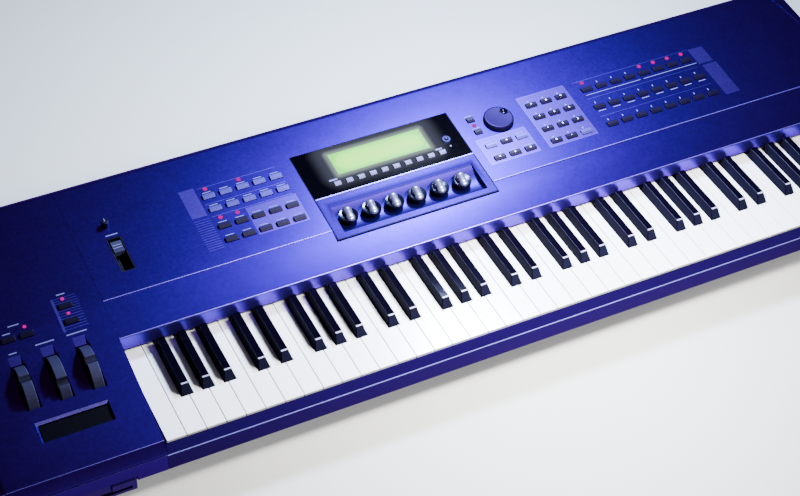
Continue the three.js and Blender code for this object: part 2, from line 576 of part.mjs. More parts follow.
const DIAL_HEIGHT = 6.5;
const DIMPLE = { radius: 5, out: 13.2, angle: THREE.MathUtils.degToRad(33) };
function dataDial() {
  const v = upSlope(upperPanel, DIAL.y);
  const disc = bar('z', DIAL.radius, [DIAL.x, v, (0.5 + DIAL_HEIGHT) / 2], DIAL_HEIGHT - 0.5, 48);
  const sphere = new THREE.SphereGeometry(DIMPLE.radius + 0.6, 16, 10).translate(
    DIAL.x + DIMPLE.out * Math.cos(DIMPLE.angle), v + DIMPLE.out * Math.sin(DIMPLE.angle), DIAL_HEIGHT + 2);
  const shaft = bar('z', DIAL.shaftRadius, [DIAL.x, v, -5.5], 13, 16);
  return disc.subtract(solid(sphere)).add(shaft);
}
add(upperPanel, 'data_dial', dataDial(), SILVER_BLUE);

const gainV = upSlope(upperPanel, GAIN_KNOB.y);
const gainHead = bar('z', GAIN_KNOB.radius, [GAIN_KNOB.x, gainV, 4.4], 8, 24);
add(upperPanel, 'gain_knob', gainHead.add(bar('z', 3, [GAIN_KNOB.x, gainV, -4], 10, 16)), BLACK_PLASTIC);

const TRACK = { depth: 9, wall: 1.2, slot: 5 };
const sliderX = (SLIDER.x0 + SLIDER.x1) / 2;
function sliderTrack() {
  const [v0, v1] = [trackV[0] + GAP, trackV[1] - GAP];
  const [x0, x1] = [SLIDER.x0 + GAP, SLIDER.x1 - GAP];
  const { depth, wall, slot } = TRACK;
  const outer = box(x0, x1, v0, v1, -depth - wall, -0.4);
  const inner = box(x0 + wall, x1 - wall, v0 + wall, v1 - wall, -depth, 1);
  const slit = box(sliderX - slot / 2, sliderX + slot / 2, v0 + 4, v1 - 4, -20, 0);
  return cutAll(outer, [inner, slit]);
}
add(upperPanel, 'slider_track', sliderTrack(), BLACK_PLASTIC);

const CAP = { width: 12.8, length: 17.4, y: 269.5, top: 1.2, bottom: -7 };
const capV = upSlope(upperPanel, CAP.y);
const capBody = box(sliderX - CAP.width / 2, sliderX + CAP.width / 2, capV - CAP.length / 2,
  capV + CAP.length / 2, CAP.bottom, CAP.top);
const capStem = box(sliderX - 1, sliderX + 1, capV - 2.5, capV + 2.5, -16, CAP.bottom + 1);
add(upperPanel, 'volume_slider', capBody.add(capStem), GREY_BUTTON);

// ---- Push-button strips -------------------------------------------------------------------------

// A strip is a thin web behind the panel with one cap for each button.
function buttonStrip(centres, width = BUTTON_WIDTH, depth = BUTTON_DEPTH, rise = BUTTON_RISE) {
  const xs = centres.map(([x]) => x);
  const vs = centres.map(([, v]) => v);
  const web = box(Math.min(...xs) - width / 2 - 1, Math.max(...xs) + width / 2 + 1,
    Math.min(...vs) - depth / 2 - 1, Math.max(...vs) + depth / 2 + 1, WEB_TOP - WEB_THICKNESS, WEB_TOP);
  return centres.reduce((all, [x, v]) =>
    all.add(box(x - width / 2, x + width / 2, v - depth / 2, v + depth / 2, WEB_TOP - 1, rise)), web);
}

Object.entries(BANKS).forEach(([name, { look, at, width }]) => {
  const centres = at.map(([x, y]) => [x, upSlope(upperPanel, y)]);
  add(upperPanel, name, buttonStrip(centres, width), look);
});

const softV = upSlope(upperPanel, SOFT_KEYS.y);
const softCentres = buttonRow(SOFT_KEYS.x0, SOFT_KEYS.count, softV, SOFT_KEYS.pitch);
add(upperPanel, 'soft_keys', buttonStrip(softCentres, SOFT_KEYS.width, SOFT_KEYS.depth, 2), PALE_BUTTON);

const octaveCentres = OCTAVE_X.map((x) => [x, upSlope(lowerPanel, OCTAVE_Y)]);
add(lowerPanel, 'octave_keys', buttonStrip(octaveCentres), DARK_BUTTON);

const sceneCentres = [SCENE_FRONT, SCENE_BACK].map(([y]) => [SCENE_X, upSlope(sceneFrame, y)]);
add(sceneFrame, 'scene_keys', buttonStrip(sceneCentres), DARK_BUTTON);

// ---- Inside the case, and the sockets at the back -----------------------------------------------

function mainBoard() {
  const board = box(215, 700, 225, 356, -52, -50.2);
  const chips = [[250, 260], [330, 300], [430, 255], [560, 300], [640, 250]];
  return chips.reduce((all, [x, y]) => all.add(box(x, x + 28, y, y + 28, -51, -47)), board);
}
add(keyboard, 'main_board', mainBoard(), CIRCUIT_GREEN);
add(keyboard, 'power_supply', box(885, 1025, 255, 350, -58, -18), BARE_STEEL);

function socketBoard() {
  const board = box(74, 500, 362, 366, -44, -12);
  const tubeFront = 365;
  const jackBack = CASE_BACK - 0.6;
  const dinBack = CASE_BACK - 1.4;
  const jackLength = jackBack - tubeFront;
  const dinLength = dinBack - tubeFront;
  const tubes = [
    ...JACK_X.map((x) => bar('y', 5.8, [x, tubeFront + jackLength / 2, JACK_Z], jackLength, 16)),
    ...DIN_X.map((x) => bar('y', 8.4, [x, tubeFront + dinLength / 2, JACK_Z], dinLength, 20)),
  ];
  const bores = [
    ...JACK_X.map((x) => bar('y', 3.4, [x, jackBack - 9, JACK_Z], 20, 12)),
    ...DIN_X.map((x) => bar('y', 6.8, [x, dinBack - 3.5, JACK_Z], 9, 20)),
  ];
  return cutAll(tubes.reduce((all, tube) => all.add(tube), board), bores);
}
add(keyboard, 'socket_board', socketBoard(), BLACK_PLASTIC);

function mainsInlet() {
  const { x, z, width, height } = INLET;
  const body = box(x - width / 2, x + width / 2, 358, CASE_BACK - 1, z - height / 2, z + height / 2);
  return body.subtract(box(x - 11.5, x + 11.5, 371, CASE_BACK, z - 8, z + 8));
}
add(keyboard, 'mains_inlet', mainsInlet(), BLACK_PLASTIC);

// Rocker with a shallow V face, pushed in at the lower half.
const { x: switchX, z: switchZ, pivotY } = SWITCH;
const rockerFace = [[3.4, -8], [4, 0], [6.6, 8]];
const rockerOutline = [[-4, 8], [-4, -8], ...rockerFace].map(([y, z]) => [pivotY + y - 1, switchZ + z]);
add(keyboard, 'power_switch', extrudeX(rockerOutline, switchX - 5.5, switchX + 5.5), BLACK_PLASTIC);

// ---- Whole object -------------------------------------------------------------------------------

keyboard.position.set(-(CASE_LEFT + CASE_RIGHT) / 2, -(CASE_FRONT + CASE_BACK) / 2, KEY_TOP_HEIGHT);
const synthesizer = new THREE.Group();
synthesizer.add(keyboard);

export default synthesizer;
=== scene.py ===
"""A seventy-six-key synthesizer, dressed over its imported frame.

Shapes are made in millimetres in the keyboard's own axes (x = 0 at the left of the first white key, y = 0 at
the keys' front edge, z = 0 at their top) or in the axes of one of its sloping panels, and are turned into
metres in the frame's axes as each piece is finished.
"""
import math

import bmesh
import bpy
from mathutils import Matrix, Vector


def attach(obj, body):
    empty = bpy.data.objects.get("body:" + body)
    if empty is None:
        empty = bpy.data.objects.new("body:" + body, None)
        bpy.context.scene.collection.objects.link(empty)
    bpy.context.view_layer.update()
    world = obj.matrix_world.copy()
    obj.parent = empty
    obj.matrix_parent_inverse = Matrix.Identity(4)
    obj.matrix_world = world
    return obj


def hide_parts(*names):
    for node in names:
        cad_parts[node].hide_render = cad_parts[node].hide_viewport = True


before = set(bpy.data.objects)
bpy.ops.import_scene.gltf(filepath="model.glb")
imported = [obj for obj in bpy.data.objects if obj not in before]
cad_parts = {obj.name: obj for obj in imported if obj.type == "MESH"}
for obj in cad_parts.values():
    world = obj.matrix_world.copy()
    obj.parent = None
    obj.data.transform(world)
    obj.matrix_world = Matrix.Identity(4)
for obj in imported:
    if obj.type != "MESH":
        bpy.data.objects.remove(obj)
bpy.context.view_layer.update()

# ---- Axes ----

KEYBOARD = Matrix.Translation((-0.439, -0.1925, 0.07)) @ Matrix.Scale(0.001, 4)


class Slope:
    """Axes in a sloping panel: u is x, v runs up the slope from its front line, w stands square out of it."""

    def __init__(self, front, back):
        self.y, self.z = front
        self.angle = math.atan2(back[1] - front[1], back[0] - front[0])
        turn = Matrix.Rotation(self.angle, 4, "X")
        self.matrix = KEYBOARD @ Matrix.Translation((0, self.y, self.z)) @ turn

    def v(self, y):
        return (y - self.y) / math.cos(self.angle)


BLOCK_EDGE = (2, 0)
CREASE = (197, 36)
BACK_EDGE = (378, 54)
LOWER = Slope(BLOCK_EDGE, CREASE)
UPPER = Slope(CREASE, BACK_EDGE)
TRAY = Slope((180.4, 33.9), (250, 41.5))
SCENE_KEYS = Slope((184.5, 33.7), (206.8, 37))
RISE = (CREASE[1] - BLOCK_EDGE[1]) / (CREASE[0] - BLOCK_EDGE[0])

# ---- Materials ----


def surface(name, color, roughness, *, metallic=0.0, coat=0.0, shade=0.9, patch=40.0, grain=1500.0,
            bump=0.02, spread=0.06, specular=0.5, tint=(1, 1, 1), glow=None, glow_strength=1.0):
    """A material with slow colour variation, uneven gloss and a fine surface grain."""
    material = bpy.data.materials.new(name)
    material.use_nodes = True
    nodes, links = material.node_tree.nodes, material.node_tree.links
    shader = nodes["Principled BSDF"]
    shader.inputs["Metallic"].default_value = metallic
    shader.inputs["Specular IOR Level"].default_value = specular
    shader.inputs["Specular Tint"].default_value = (*tint, 1)
    shader.inputs["Coat Weight"].default_value = coat
    shader.inputs["Coat Roughness"].default_value = 0.08
    if glow:
        shader.inputs["Emission Color"].default_value = (*glow, 1)
        shader.inputs["Emission Strength"].default_value = glow_strength
    place = nodes.new("ShaderNodeTexCoord")

    def noise(scale, detail):
        texture = nodes.new("ShaderNodeTexNoise")
        texture.inputs["Scale"].default_value = scale
        texture.inputs["Detail"].default_value = detail
        links.new(place.outputs["Object"], texture.inputs["Vector"])
        return texture.outputs["Fac"]

    ramp = nodes.new("ShaderNodeValToRGB")
    ramp.color_ramp.elements[0].position = 0.3
    ramp.color_ramp.elements[0].color = (*(shade * c for c in color), 1)
    ramp.color_ramp.elements[1].position = 0.7
    ramp.color_ramp.elements[1].color = (*color, 1)
    links.new(noise(patch, 4), ramp.inputs["Fac"])
    links.new(ramp.outputs["Color"], shader.inputs["Base Color"])
    gloss = nodes.new("ShaderNodeMapRange")
    gloss.inputs["To Min"].default_value = roughness - spread
    gloss.inputs["To Max"].default_value = roughness + spread
    links.new(noise(patch * 6, 5), gloss.inputs["Value"])
    links.new(gloss.outputs["Result"], shader.inputs["Roughness"])
    relief = nodes.new("ShaderNodeBump")
    relief.inputs["Strength"].default_value = bump
    relief.inputs["Distance"].default_value = 0.0002
    links.new(noise(grain, 3), relief.inputs["Height"])
    links.new(relief.outputs["Normal"], shader.inputs["Normal"])
    return material


# Tints of the white reflection that a dark surface gives at a low angle
BLUE_TINT = (0.6, 0.0, 1.0)
DUSK_TINT = (0.8, 0.62, 1.0)
# What the painted, the button and the black key surfaces share
PAINTED = {"tint": BLUE_TINT, "grain": 2200, "bump": 0.1}
CAPPED = {"grain": 1500, "bump": 0.1}
GLOSSY_KEY = {"patch": 60, "bump": 0.01}

# The case paint glows faintly violet by itself: painted light that keeps its shaded parts from going neutral
# black.
PAINT = surface("case_paint", (0.012, 0.0, 0.103), 0.37, metallic=0.98, **PAINTED,
                glow=(0.45, 0.0, 1.0), glow_strength=0.009)
# A darker copy of the case paint for the knob tray: painted shade.
SHADED_TRAY_PAINT = surface("tray_painted_shade", (0.0038, 0.0012, 0.034), 0.38, metallic=0.95, **PAINTED)
# A lighter copy of the tray paint for the floor of its trough: painted light.
LIT_TROUGH_PAINT = surface("trough_painted_light", (0.009, 0.004, 0.075), 0.38, metallic=0.9, **PAINTED)
# A lighter copy of the case paint for the front face of the lip over the keys: painted light.
LIP_FACE_LIGHT_PAINT = surface("lip_painted_light", (0.07, 0.03, 0.43), 0.33, metallic=0.95, tint=BLUE_TINT, grain=2200,
                         bump=0.0, spread=0.02)
# A light paint for rounded edges, the crease bead, the recess wall and the tray ridge: painted highlight.
EDGE_HIGHLIGHT_PAINT = surface("edge_painted_highlight", (0.13, 0.095, 0.5), 0.4, metallic=0.8, **PAINTED)
# A darker copy of the case paint for the front rail: painted shade.
RAIL_SHADE_PAINT = surface("rail_painted_shade", (0.0042, 0.0008, 0.045), 0.3, metallic=0.9, tint=BLUE_TINT, grain=2200,
                     bump=0.05)
# A light paint for the ledge of the front rail: painted highlight.
RAIL_HIGHLIGHT = surface("rail_painted_highlight", (0.24, 0.24, 0.75), 0.38, metallic=0.6, grain=2200, bump=0.1)
DRIVE_FACE = surface("drive_face", (0.016, 0.008, 0.1), 0.4, metallic=0.8, tint=BLUE_TINT, **CAPPED)

BLACK_STEEL = surface("black_steel", (0.006, 0.006, 0.009), 0.45, specular=0.14, grain=1800, bump=0.2)
BARE_STEEL = surface("bare_steel", (0.55, 0.55, 0.57), 0.35, metallic=0.9, patch=60)
FOOT_RUBBER = surface("foot_rubber", (0.012, 0.012, 0.012), 0.85, grain=900, bump=0.3)
CIRCUIT = surface("circuit_board", (0.03, 0.16, 0.07), 0.4, patch=120, shade=0.7)

WHITE_KEY = surface("white_key", (0.76, 0.77, 0.79), 0.24, coat=0.3, shade=0.97, patch=25, bump=0.01)
# Lit copies of the black key plastic: painted highlights on the edges and ridges, painted light on the front
# and sides.
KEY_EDGE_HIGHLIGHT = surface("black_key_edge_highlight", (0.3, 0.3, 0.46), 0.3, **GLOSSY_KEY)
KEY_FRONT_LIGHT = surface("black_key_front", (0.005, 0.005, 0.015), 0.3, specular=0.02, **GLOSSY_KEY)
KEY_SIDE_LIGHT = surface("black_key_side_light", (0.0035, 0.003, 0.01), 0.3, specular=0.005, tint=DUSK_TINT,
                   **GLOSSY_KEY)
KEY_RIDGE_HIGHLIGHT = surface("black_key_ridge_highlight", (0.06, 0.06, 0.115), 0.3, specular=0.1, **GLOSSY_KEY)
BLACK_KEY = surface("black_key", (0.0009, 0.0005, 0.003), 0.08, specular=0.02, tint=DUSK_TINT, patch=60,
                    bump=0.0, spread=0.02)

WHEEL = surface("wheel_plastic", (0.015, 0.015, 0.04), 0.42, specular=0.25, tint=(0.7, 0.7, 1), grain=1200,
                bump=0.15)
# A dark copy of the wheel plastic for the wheels' sides and notches: painted shade.
WHEEL_SHADE = surface("wheel_painted_shade", (0.003, 0.003, 0.01), 0.5, specular=0.15, tint=DUSK_TINT, grain=1200,
                     bump=0.15)
BLACK_PLASTIC = surface("black_plastic", (0.0015, 0.0013, 0.004), 0.4, specular=0.2, tint=DUSK_TINT,
                        grain=1200, bump=0.1)
STRIP_BLACK = surface("strip_black", (0.0006, 0.0005, 0.002), 0.5, specular=0.03, grain=900, bump=0.15)
# Black plastic of the knob skirts, also used inside the dial's dimple as painted shade.
KNOB_BLACK_AND_SHADE = surface("knob_black_and_shade", (0.001, 0.0008, 0.004), 0.13, specular=0.16, tint=(0.6, 0.6, 1),
                     patch=80, bump=0.02)
KNOB_BLUE = surface("knob_blue", (0.2, 0.2, 0.38), 0.27, metallic=0.85, patch=80, bump=0.04)
RING_BLUE = surface("ring_blue", (0.014, 0.011, 0.075), 0.5, specular=0.05, patch=80, bump=0.04)
DIAL_BLUE = surface("dial_blue", (0.006, 0.004, 0.026), 0.42, metallic=0.6, specular=0.1, tint=BLUE_TINT,
                    patch=80, bump=0.06)
DARK_BUTTON = surface("dark_button", (0.002, 0.0012, 0.008), 0.4, specular=0.1, tint=DUSK_TINT, **CAPPED)
GREY_BUTTON = surface("grey_button", (0.036, 0.03, 0.165), 0.42, metallic=0.7, specular=0.2, tint=BLUE_TINT,
                      **CAPPED)
PALE_BUTTON = surface("pale_button", (0.075, 0.068, 0.17), 0.4, specular=0.15, **CAPPED)

PRINT_BRIGHT = surface("print_bright", (0.8, 0.82, 0.95), 0.5, shade=0.95)
PRINT_WHITE = surface("print_white", (0.085, 0.085, 0.21), 0.5, specular=0.1, shade=0.95)
PRINT_EDGE = surface("print_edge", (0.05, 0.024, 0.22), 0.42, metallic=0.95, **PAINTED)
# Blue print, also laid on the sloped ramps behind the wheel slots as a painted highlight.
PRINT_AND_HIGHLIGHT_BLUE = surface("print_and_highlight_blue", (0.033, 0.012, 0.15), 0.42, metallic=0.95, **PAINTED)
LAMP_LIT = surface("lamp_lit", (0.01, 0.0, 0.004), 0.5, specular=0.0, glow=(0.78, 0.0, 0.36))
LCD_GREEN = surface("lcd_green", (0.02, 0.05, 0.01), 0.4, shade=0.85, specular=0.1)
DISPLAY_GLASS = surface("display_glass", (0.0004, 0.0003, 0.001), 0.06, bump=0.0, spread=0.02, specular=0.25)

# The lit screen, as x and y ranges in the keyboard's axes
SCREEN = (334.4, 462, 278.8, 314.4)


def screen_distance(nodes, links, inset):
    """Metres outside the screen's outline, drawn in by an inset in mm, as a shader value."""
    x0, x1, y0, y1 = SCREEN
    low, high = KEYBOARD @ Vector((x0, y0, 0)), KEYBOARD @ Vector((x1, y1, 0))
    place = nodes.new("ShaderNodeTexCoord")
    split = nodes.new("ShaderNodeSeparateXYZ")
    links.new(place.outputs["Object"], split.inputs["Vector"])

    def math_node(operation, *values):
        node = nodes.new("ShaderNodeMath")
        node.operation = operation
        for socket, value in zip(node.inputs, values):
            if isinstance(value, float):
                socket.default_value = value
            else:
                links.new(value, socket)
        return node.outputs["Value"]

    squares = []
    for axis in (0, 1):
        middle, half = (low[axis] + high[axis]) / 2, (high[axis] - low[axis]) / 2 - inset / 1000
        away = math_node("ABSOLUTE", math_node("SUBTRACT", split.outputs[axis], middle))
        squares.append(math_node("POWER", math_node("MAXIMUM", math_node("SUBTRACT", away, half), 0.0), 2.0))
    return math_node("SQRT", math_node("ADD", *squares))


def glow_from_screen(material, inset, reach, stops, strength):
    """Lights a material by its distance from the screen: colour stops run out to the reach, in mm."""
    nodes, links = material.node_tree.nodes, material.node_tree.links
    fade = nodes.new("ShaderNodeMapRange")
    fade.inputs["From Max"].default_value = reach / 1000
    links.new(screen_distance(nodes, links, inset), fade.inputs["Value"])
    ramp = nodes.new("ShaderNodeValToRGB")
    ramp.color_ramp.interpolation = "EASE"
    while len(ramp.color_ramp.elements) < len(stops):
        ramp.color_ramp.elements.new(0.5)
    for element, (position, color) in zip(ramp.color_ramp.elements, stops):
        element.position = position
        element.color = (*color, 1)
    links.new(fade.outputs["Result"], ramp.inputs["Fac"])
    shader = nodes["Principled BSDF"]
    links.new(ramp.outputs["Color"], shader.inputs["Emission Color"])
    shader.inputs["Emission Strength"].default_value = strength


SCREEN_GREENS = ((0, (0.34, 1.0, 0.006)), (0.55, (0.26, 1.0, 0.001)), (1, (0.07, 0.62, 0)))
GLASS_HALO = ((0, (0.5, 0.62, 0.6)), (0.3, (0.09, 0.1, 0.14)), (1, (0, 0, 0)))
glow_from_screen(LCD_GREEN, inset=18.5, reach=19, stops=SCREEN_GREENS, strength=2.7)
glow_from_screen(DISPLAY_GLASS, inset=0, reach=30, stops=GLASS_HALO, strength=0.75)

# ---- Mesh tools ----

# The body and the slot of most of what doesn't move
CASE = ("case", "case_paint")


def add_prism(bm, outline, low, high, axis="z"):
    """A closed outline, in the two other axes in x, y, z order, run from low to high along an axis."""
    order = {"x": lambda a, b, c: (c, a, b), "y": lambda a, b, c: (a, c, b), "z": lambda a, b, c: (a, b, c)}
    place = order[axis]
    ends = [[bm.verts.new(place(a, b, level)) for a, b in outline] for level in (low, high)]
    bm.faces.new(ends[0])
    bm.faces.new(ends[1])
    count = len(outline)
    for i in range(count):
        j = (i + 1) % count
        bm.faces.new((ends[0][i], ends[0][j], ends[1][j], ends[1][i]))


def add_box(bm, x0, x1, y0, y1, z0, z1):
    """A box between two levels on each axis."""
    add_prism(bm, ((x0, y0), (x1, y0), (x1, y1), (x0, y1)), z0, z1)


def add_turned(bm, profile, centre, axis="z", segments=48):
    """A profile of (radius, height) points turned round an axis. Its two ends are on the axis."""
    cx, cy, cz = centre
    rings = []
    for radius, height in profile:
        ring = []
        for i in range(segments if radius > 1e-6 else 1):
            angle = 2 * math.pi * i / segments
            a, b = radius * math.cos(angle), radius * math.sin(angle)
            spot = (cx + a, cy + b, cz + height) if axis == "z" else (cx + height, cy + a, cz + b)
            if axis == "y":
                spot = (cx + a, cy + height, cz + b)
            ring.append(bm.verts.new(spot))
        rings.append(ring)
    for one, two in zip(rings, rings[1:]):
        for i in range(segments):
            j = (i + 1) % segments
            corners = [one[i % len(one)], one[j % len(one)], two[j % len(two)], two[i % len(two)]]
            bm.faces.new(list(dict.fromkeys(corners)))


def add_bar(bm, radius, low, high, centre, axis="z", segments=48):
    """A plain cylinder between two heights along its axis."""
    add_turned(bm, [(0, low), (radius, low), (radius, high), (0, high)], centre, axis, segments)


def join_rings(bm, rings):
    """A closed skin through rings of as many vertices each, capped at both ends."""
    bm.faces.new(rings[0])
    bm.faces.new(rings[-1])
    count = len(rings[0])
    for one, two in zip(rings, rings[1:]):
        for i in range(count):
            j = (i + 1) % count
            bm.faces.new((one[i], one[j], two[j], two[i]))


def add_hull(bm, points):
    """The convex hull of the points."""
    made = bmesh.ops.convex_hull(bm, input=[bm.verts.new(p) for p in points])
    bmesh.ops.delete(bm, geom=made["geom_interior"] + made["geom_unused"], context="VERTS")


def mesh_object(name, bm, matrix):
    """An object made from a bmesh in the matrix's axes. The bmesh is used up."""
    bmesh.ops.remove_doubles(bm, verts=bm.verts, dist=1e-5)
    bmesh.ops.recalc_face_normals(bm, faces=bm.faces)
    mesh = bpy.data.meshes.new(name)
    bm.to_mesh(mesh)
    bm.free()
    mesh.transform(matrix)
    made = bpy.data.objects.new(name, mesh)
    bpy.context.scene.collection.objects.link(made)
    return made


def apply_modifiers(piece):
    """Turns the piece's modifiers into mesh."""
    bpy.context.view_layer.update()
    evaluated = piece.evaluated_get(bpy.context.evaluated_depsgraph_get())
    mesh = bpy.data.meshes.new_from_object(evaluated)
    piece.modifiers.clear()
    piece.data = mesh


def carve(piece, cutter_bm, matrix):
    """Cuts the shapes in a bmesh out of the piece."""
    cutter = mesh_object("cutter", cutter_bm, matrix)
    modifier = piece.modifiers.new("cut", "BOOLEAN")
    modifier.object = cutter
    modifier.operation = "DIFFERENCE"
    modifier.solver = "EXACT"
    apply_modifiers(piece)
    bpy.data.objects.remove(cutter)


def finish(piece, material, body, slot, stands_for=(), bevel=0.4, segments=3, angle=30):
    """Rounds the piece's edges, shades it, and hangs it on its body."""
    assert piece.data.polygons, piece.name
    piece.data.materials.clear()
    piece.data.materials.append(material)
    piece.data.shade_smooth()
    if bevel:
        modifier = piece.modifiers.new("edges", "BEVEL")
        modifier.width = bevel / 1000
        modifier.segments = segments
        modifier.limit_method = "ANGLE"
        modifier.angle_limit = math.radians(angle)
        modifier.harden_normals = True
        modifier.miter_outer = "MITER_ARC"
    else:
        piece.data.set_sharp_from_angle(angle=math.radians(angle))
    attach(piece, body)
    if stands_for:
        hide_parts(*stands_for)
    return piece


def build(name, bm, matrix, material, body, slot, *stands_for, bevel=0.0, angle=30):
    """A finished piece straight from a bmesh in the matrix's axes."""
    return finish(mesh_object(name, bm, matrix), material, body, slot, stands_for, bevel=bevel, angle=angle)


def repaint(piece, material, chosen):
    """Gives another material to the faces for which chosen(normal, centre) holds, in keyboard axes."""
    piece.data.materials.append(material)
    index = len(piece.data.materials) - 1
    to_keyboard = KEYBOARD.inverted()
    for polygon in piece.data.polygons:
        if chosen(polygon.normal, to_keyboard @ polygon.center):
            polygon.material_index = index


def dress(node, material):
    """Gives a CAD node that stays in view its material."""
    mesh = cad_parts[node].data
    mesh.materials.clear()
    mesh.materials.append(material)


def rounded(line, radii, steps=5):
    """An open line of points with each inner corner replaced by an arc of its own radius."""
    points = [Vector(p) for p in line]
    result = [tuple(points[0])]
    for before, corner, after, radius in zip(points, points[1:], points[2:], radii):
        back = (before - corner).normalized()
        on = (after - corner).normalized()
        bend = math.pi - back.angle(on)
        reach = radius * math.tan(bend / 2)
        start = corner + back * reach
        end = corner + on * reach
        for i in range(steps + 1):
            t = i / steps
            spot = start.lerp(corner, t).lerp(corner.lerp(end, t), t)
            result.append(tuple(spot))
    result.append(tuple(points[-1]))
    return result


def offset(line, distance):
    """The open line moved sideways, to the right of its direction."""
    points = [Vector(p) for p in line]
    normals = [Vector((b.y - a.y, a.x - b.x)).normalized() for a, b in zip(points, points[1:])]
    moved = []
    for i, point in enumerate(points):
        before = normals[max(i - 1, 0)]
        after = normals[min(i, len(normals) - 1)]
        middle = (before + after).normalized()
        moved.append(tuple(point + middle * (distance / middle.dot(after))))
    return moved


# ---- Case ----

CASE_LEFT, CASE_RIGHT, CASE_FRONT, CASE_BACK = -187, 1065, -5, 390
BLOCK_RIGHT = -2
COVER_BOTTOM = -42
BELOW_ALL, ABOVE_ALL = -60, 80
FLANGE = 30
BACK_NOTCH = 380
GROOVE_DEPTH = 1.2
GROOVE_Z = (-18.4, -16)
WALL = 2.5
SEAM_X = 1058.2
SEAM_CUT_Z = (-80, 90)
BACK_BEND = [(386, 50.5), (CASE_BACK, 43)]
COVER_RADII = [3, 1.6, 120, 10, 6, 6]
END_ROUNDING = 9


def cover_line(bottom):
    """The outer line of the case's ends in y and z, from the foot of the front to the foot of the back."""
    return [(CASE_FRONT, bottom), (CASE_FRONT, -15), BLOCK_EDGE, CREASE, BACK_EDGE, *BACK_BEND,
            (CASE_BACK, bottom)]


def add_end_moulding(bm, bottom, outer_x, inner_x, shrink):
    """A lengthwise profile whose outer end is rounded over, as a closed body."""
    towards = math.copysign(1, inner_x - outer_x)
    steps = 8
    stops = []
    for i in range(steps + 1):
        angle = math.pi / 2 * i / steps
        inset = shrink + END_ROUNDING * (1 - math.sin(angle))
        stops.append((outer_x + towards * (shrink + END_ROUNDING * (1 - math.cos(angle))), inset))
    stops.append((inner_x, shrink))
    rings = []
    for x, inset in stops:
        radii = [max(0.3, radius - inset) for radius in COVER_RADII]
        outline = rounded(offset(cover_line(bottom), inset), radii)
        rings.append([bm.verts.new((x, y, z)) for y, z in outline])
    join_rings(bm, rings)


def seam_line(shift):
    """The seam between panel and right cheek: straight beside the keys, then a long arc."""
    start, radius, steps = 190, 966, 24
    line = [(SEAM_X + shift, CASE_FRONT - 1)]
    for i in range(steps + 1):
        run = (CASE_BACK + 1 - start) * i / steps
        line.append((SEAM_X + shift - run ** 2 / (2 * radius), start + run))
    return line


def new():
    return bmesh.new()


def button_pocket(bm, x, v, width, depth, clearance=0.5):
    """The hole of one button, with small corner radii, in a panel's axes."""
    a, b, r = width / 2 + clearance, depth / 2 + clearance, 0.8
    corners = []
    for sx, sy, start in ((1, 1, 0), (-1, 1, 90), (-1, -1, 180), (1, -1, 270)):
        for step in range(4):
            angle = math.radians(start + 30 * step)
            corners.append((x + sx * (a - r) + r * math.cos(angle), v + sy * (b - r) + r * math.sin(angle)))
    add_prism(bm, corners, -12, 6)


def end_cuts(x0, x1):
    """Across one end of the case, the notch for the back plate and the groove along the front."""
    cuts = new()
    add_box(cuts, x0, x1, BACK_NOTCH, CASE_BACK + 1, BELOW_ALL, FLANGE)
    add_box(cuts, x0, x1, CASE_FRONT - 1, CASE_FRONT + GROOVE_DEPTH, *GROOVE_Z)
    return cuts


BUTTON = (15.6, 7.8)
WHEEL_X = [-118.5, -81, -43.5]
WHEEL_V = 120
WHEEL_SLOT = (17, 61)
WHEEL_SINK = 19
WHEEL_RADIUS = 34
WHEEL_RAMP = ((149, -2), (149, 2), (165, 0.3), (165, 2))
RIBBON_X = (-119.4, -42.2)
RIBBON_Y = (46, 67)
DRIVE_X = (-140.2, -37.8)
OCTAVE_AT = [(-117.6, 184.5), (-96.2, 184.5)]
SCENE_AT = [(-43.4, 184.5), (-43.4, 206.8)]


def on_front_edges(normal, centre):
    """The rounding along the front of the slope, and the ledge of the groove below it."""
    on_rounding = -0.86 < normal.y < -0.3 and normal.z > 0.3 and centre.y < BLOCK_EDGE[0] + 2
    on_ledge = normal.z > 0.9 and centre.y < CASE_FRONT + 2 and centre.z < -15
    return on_rounding or on_ledge


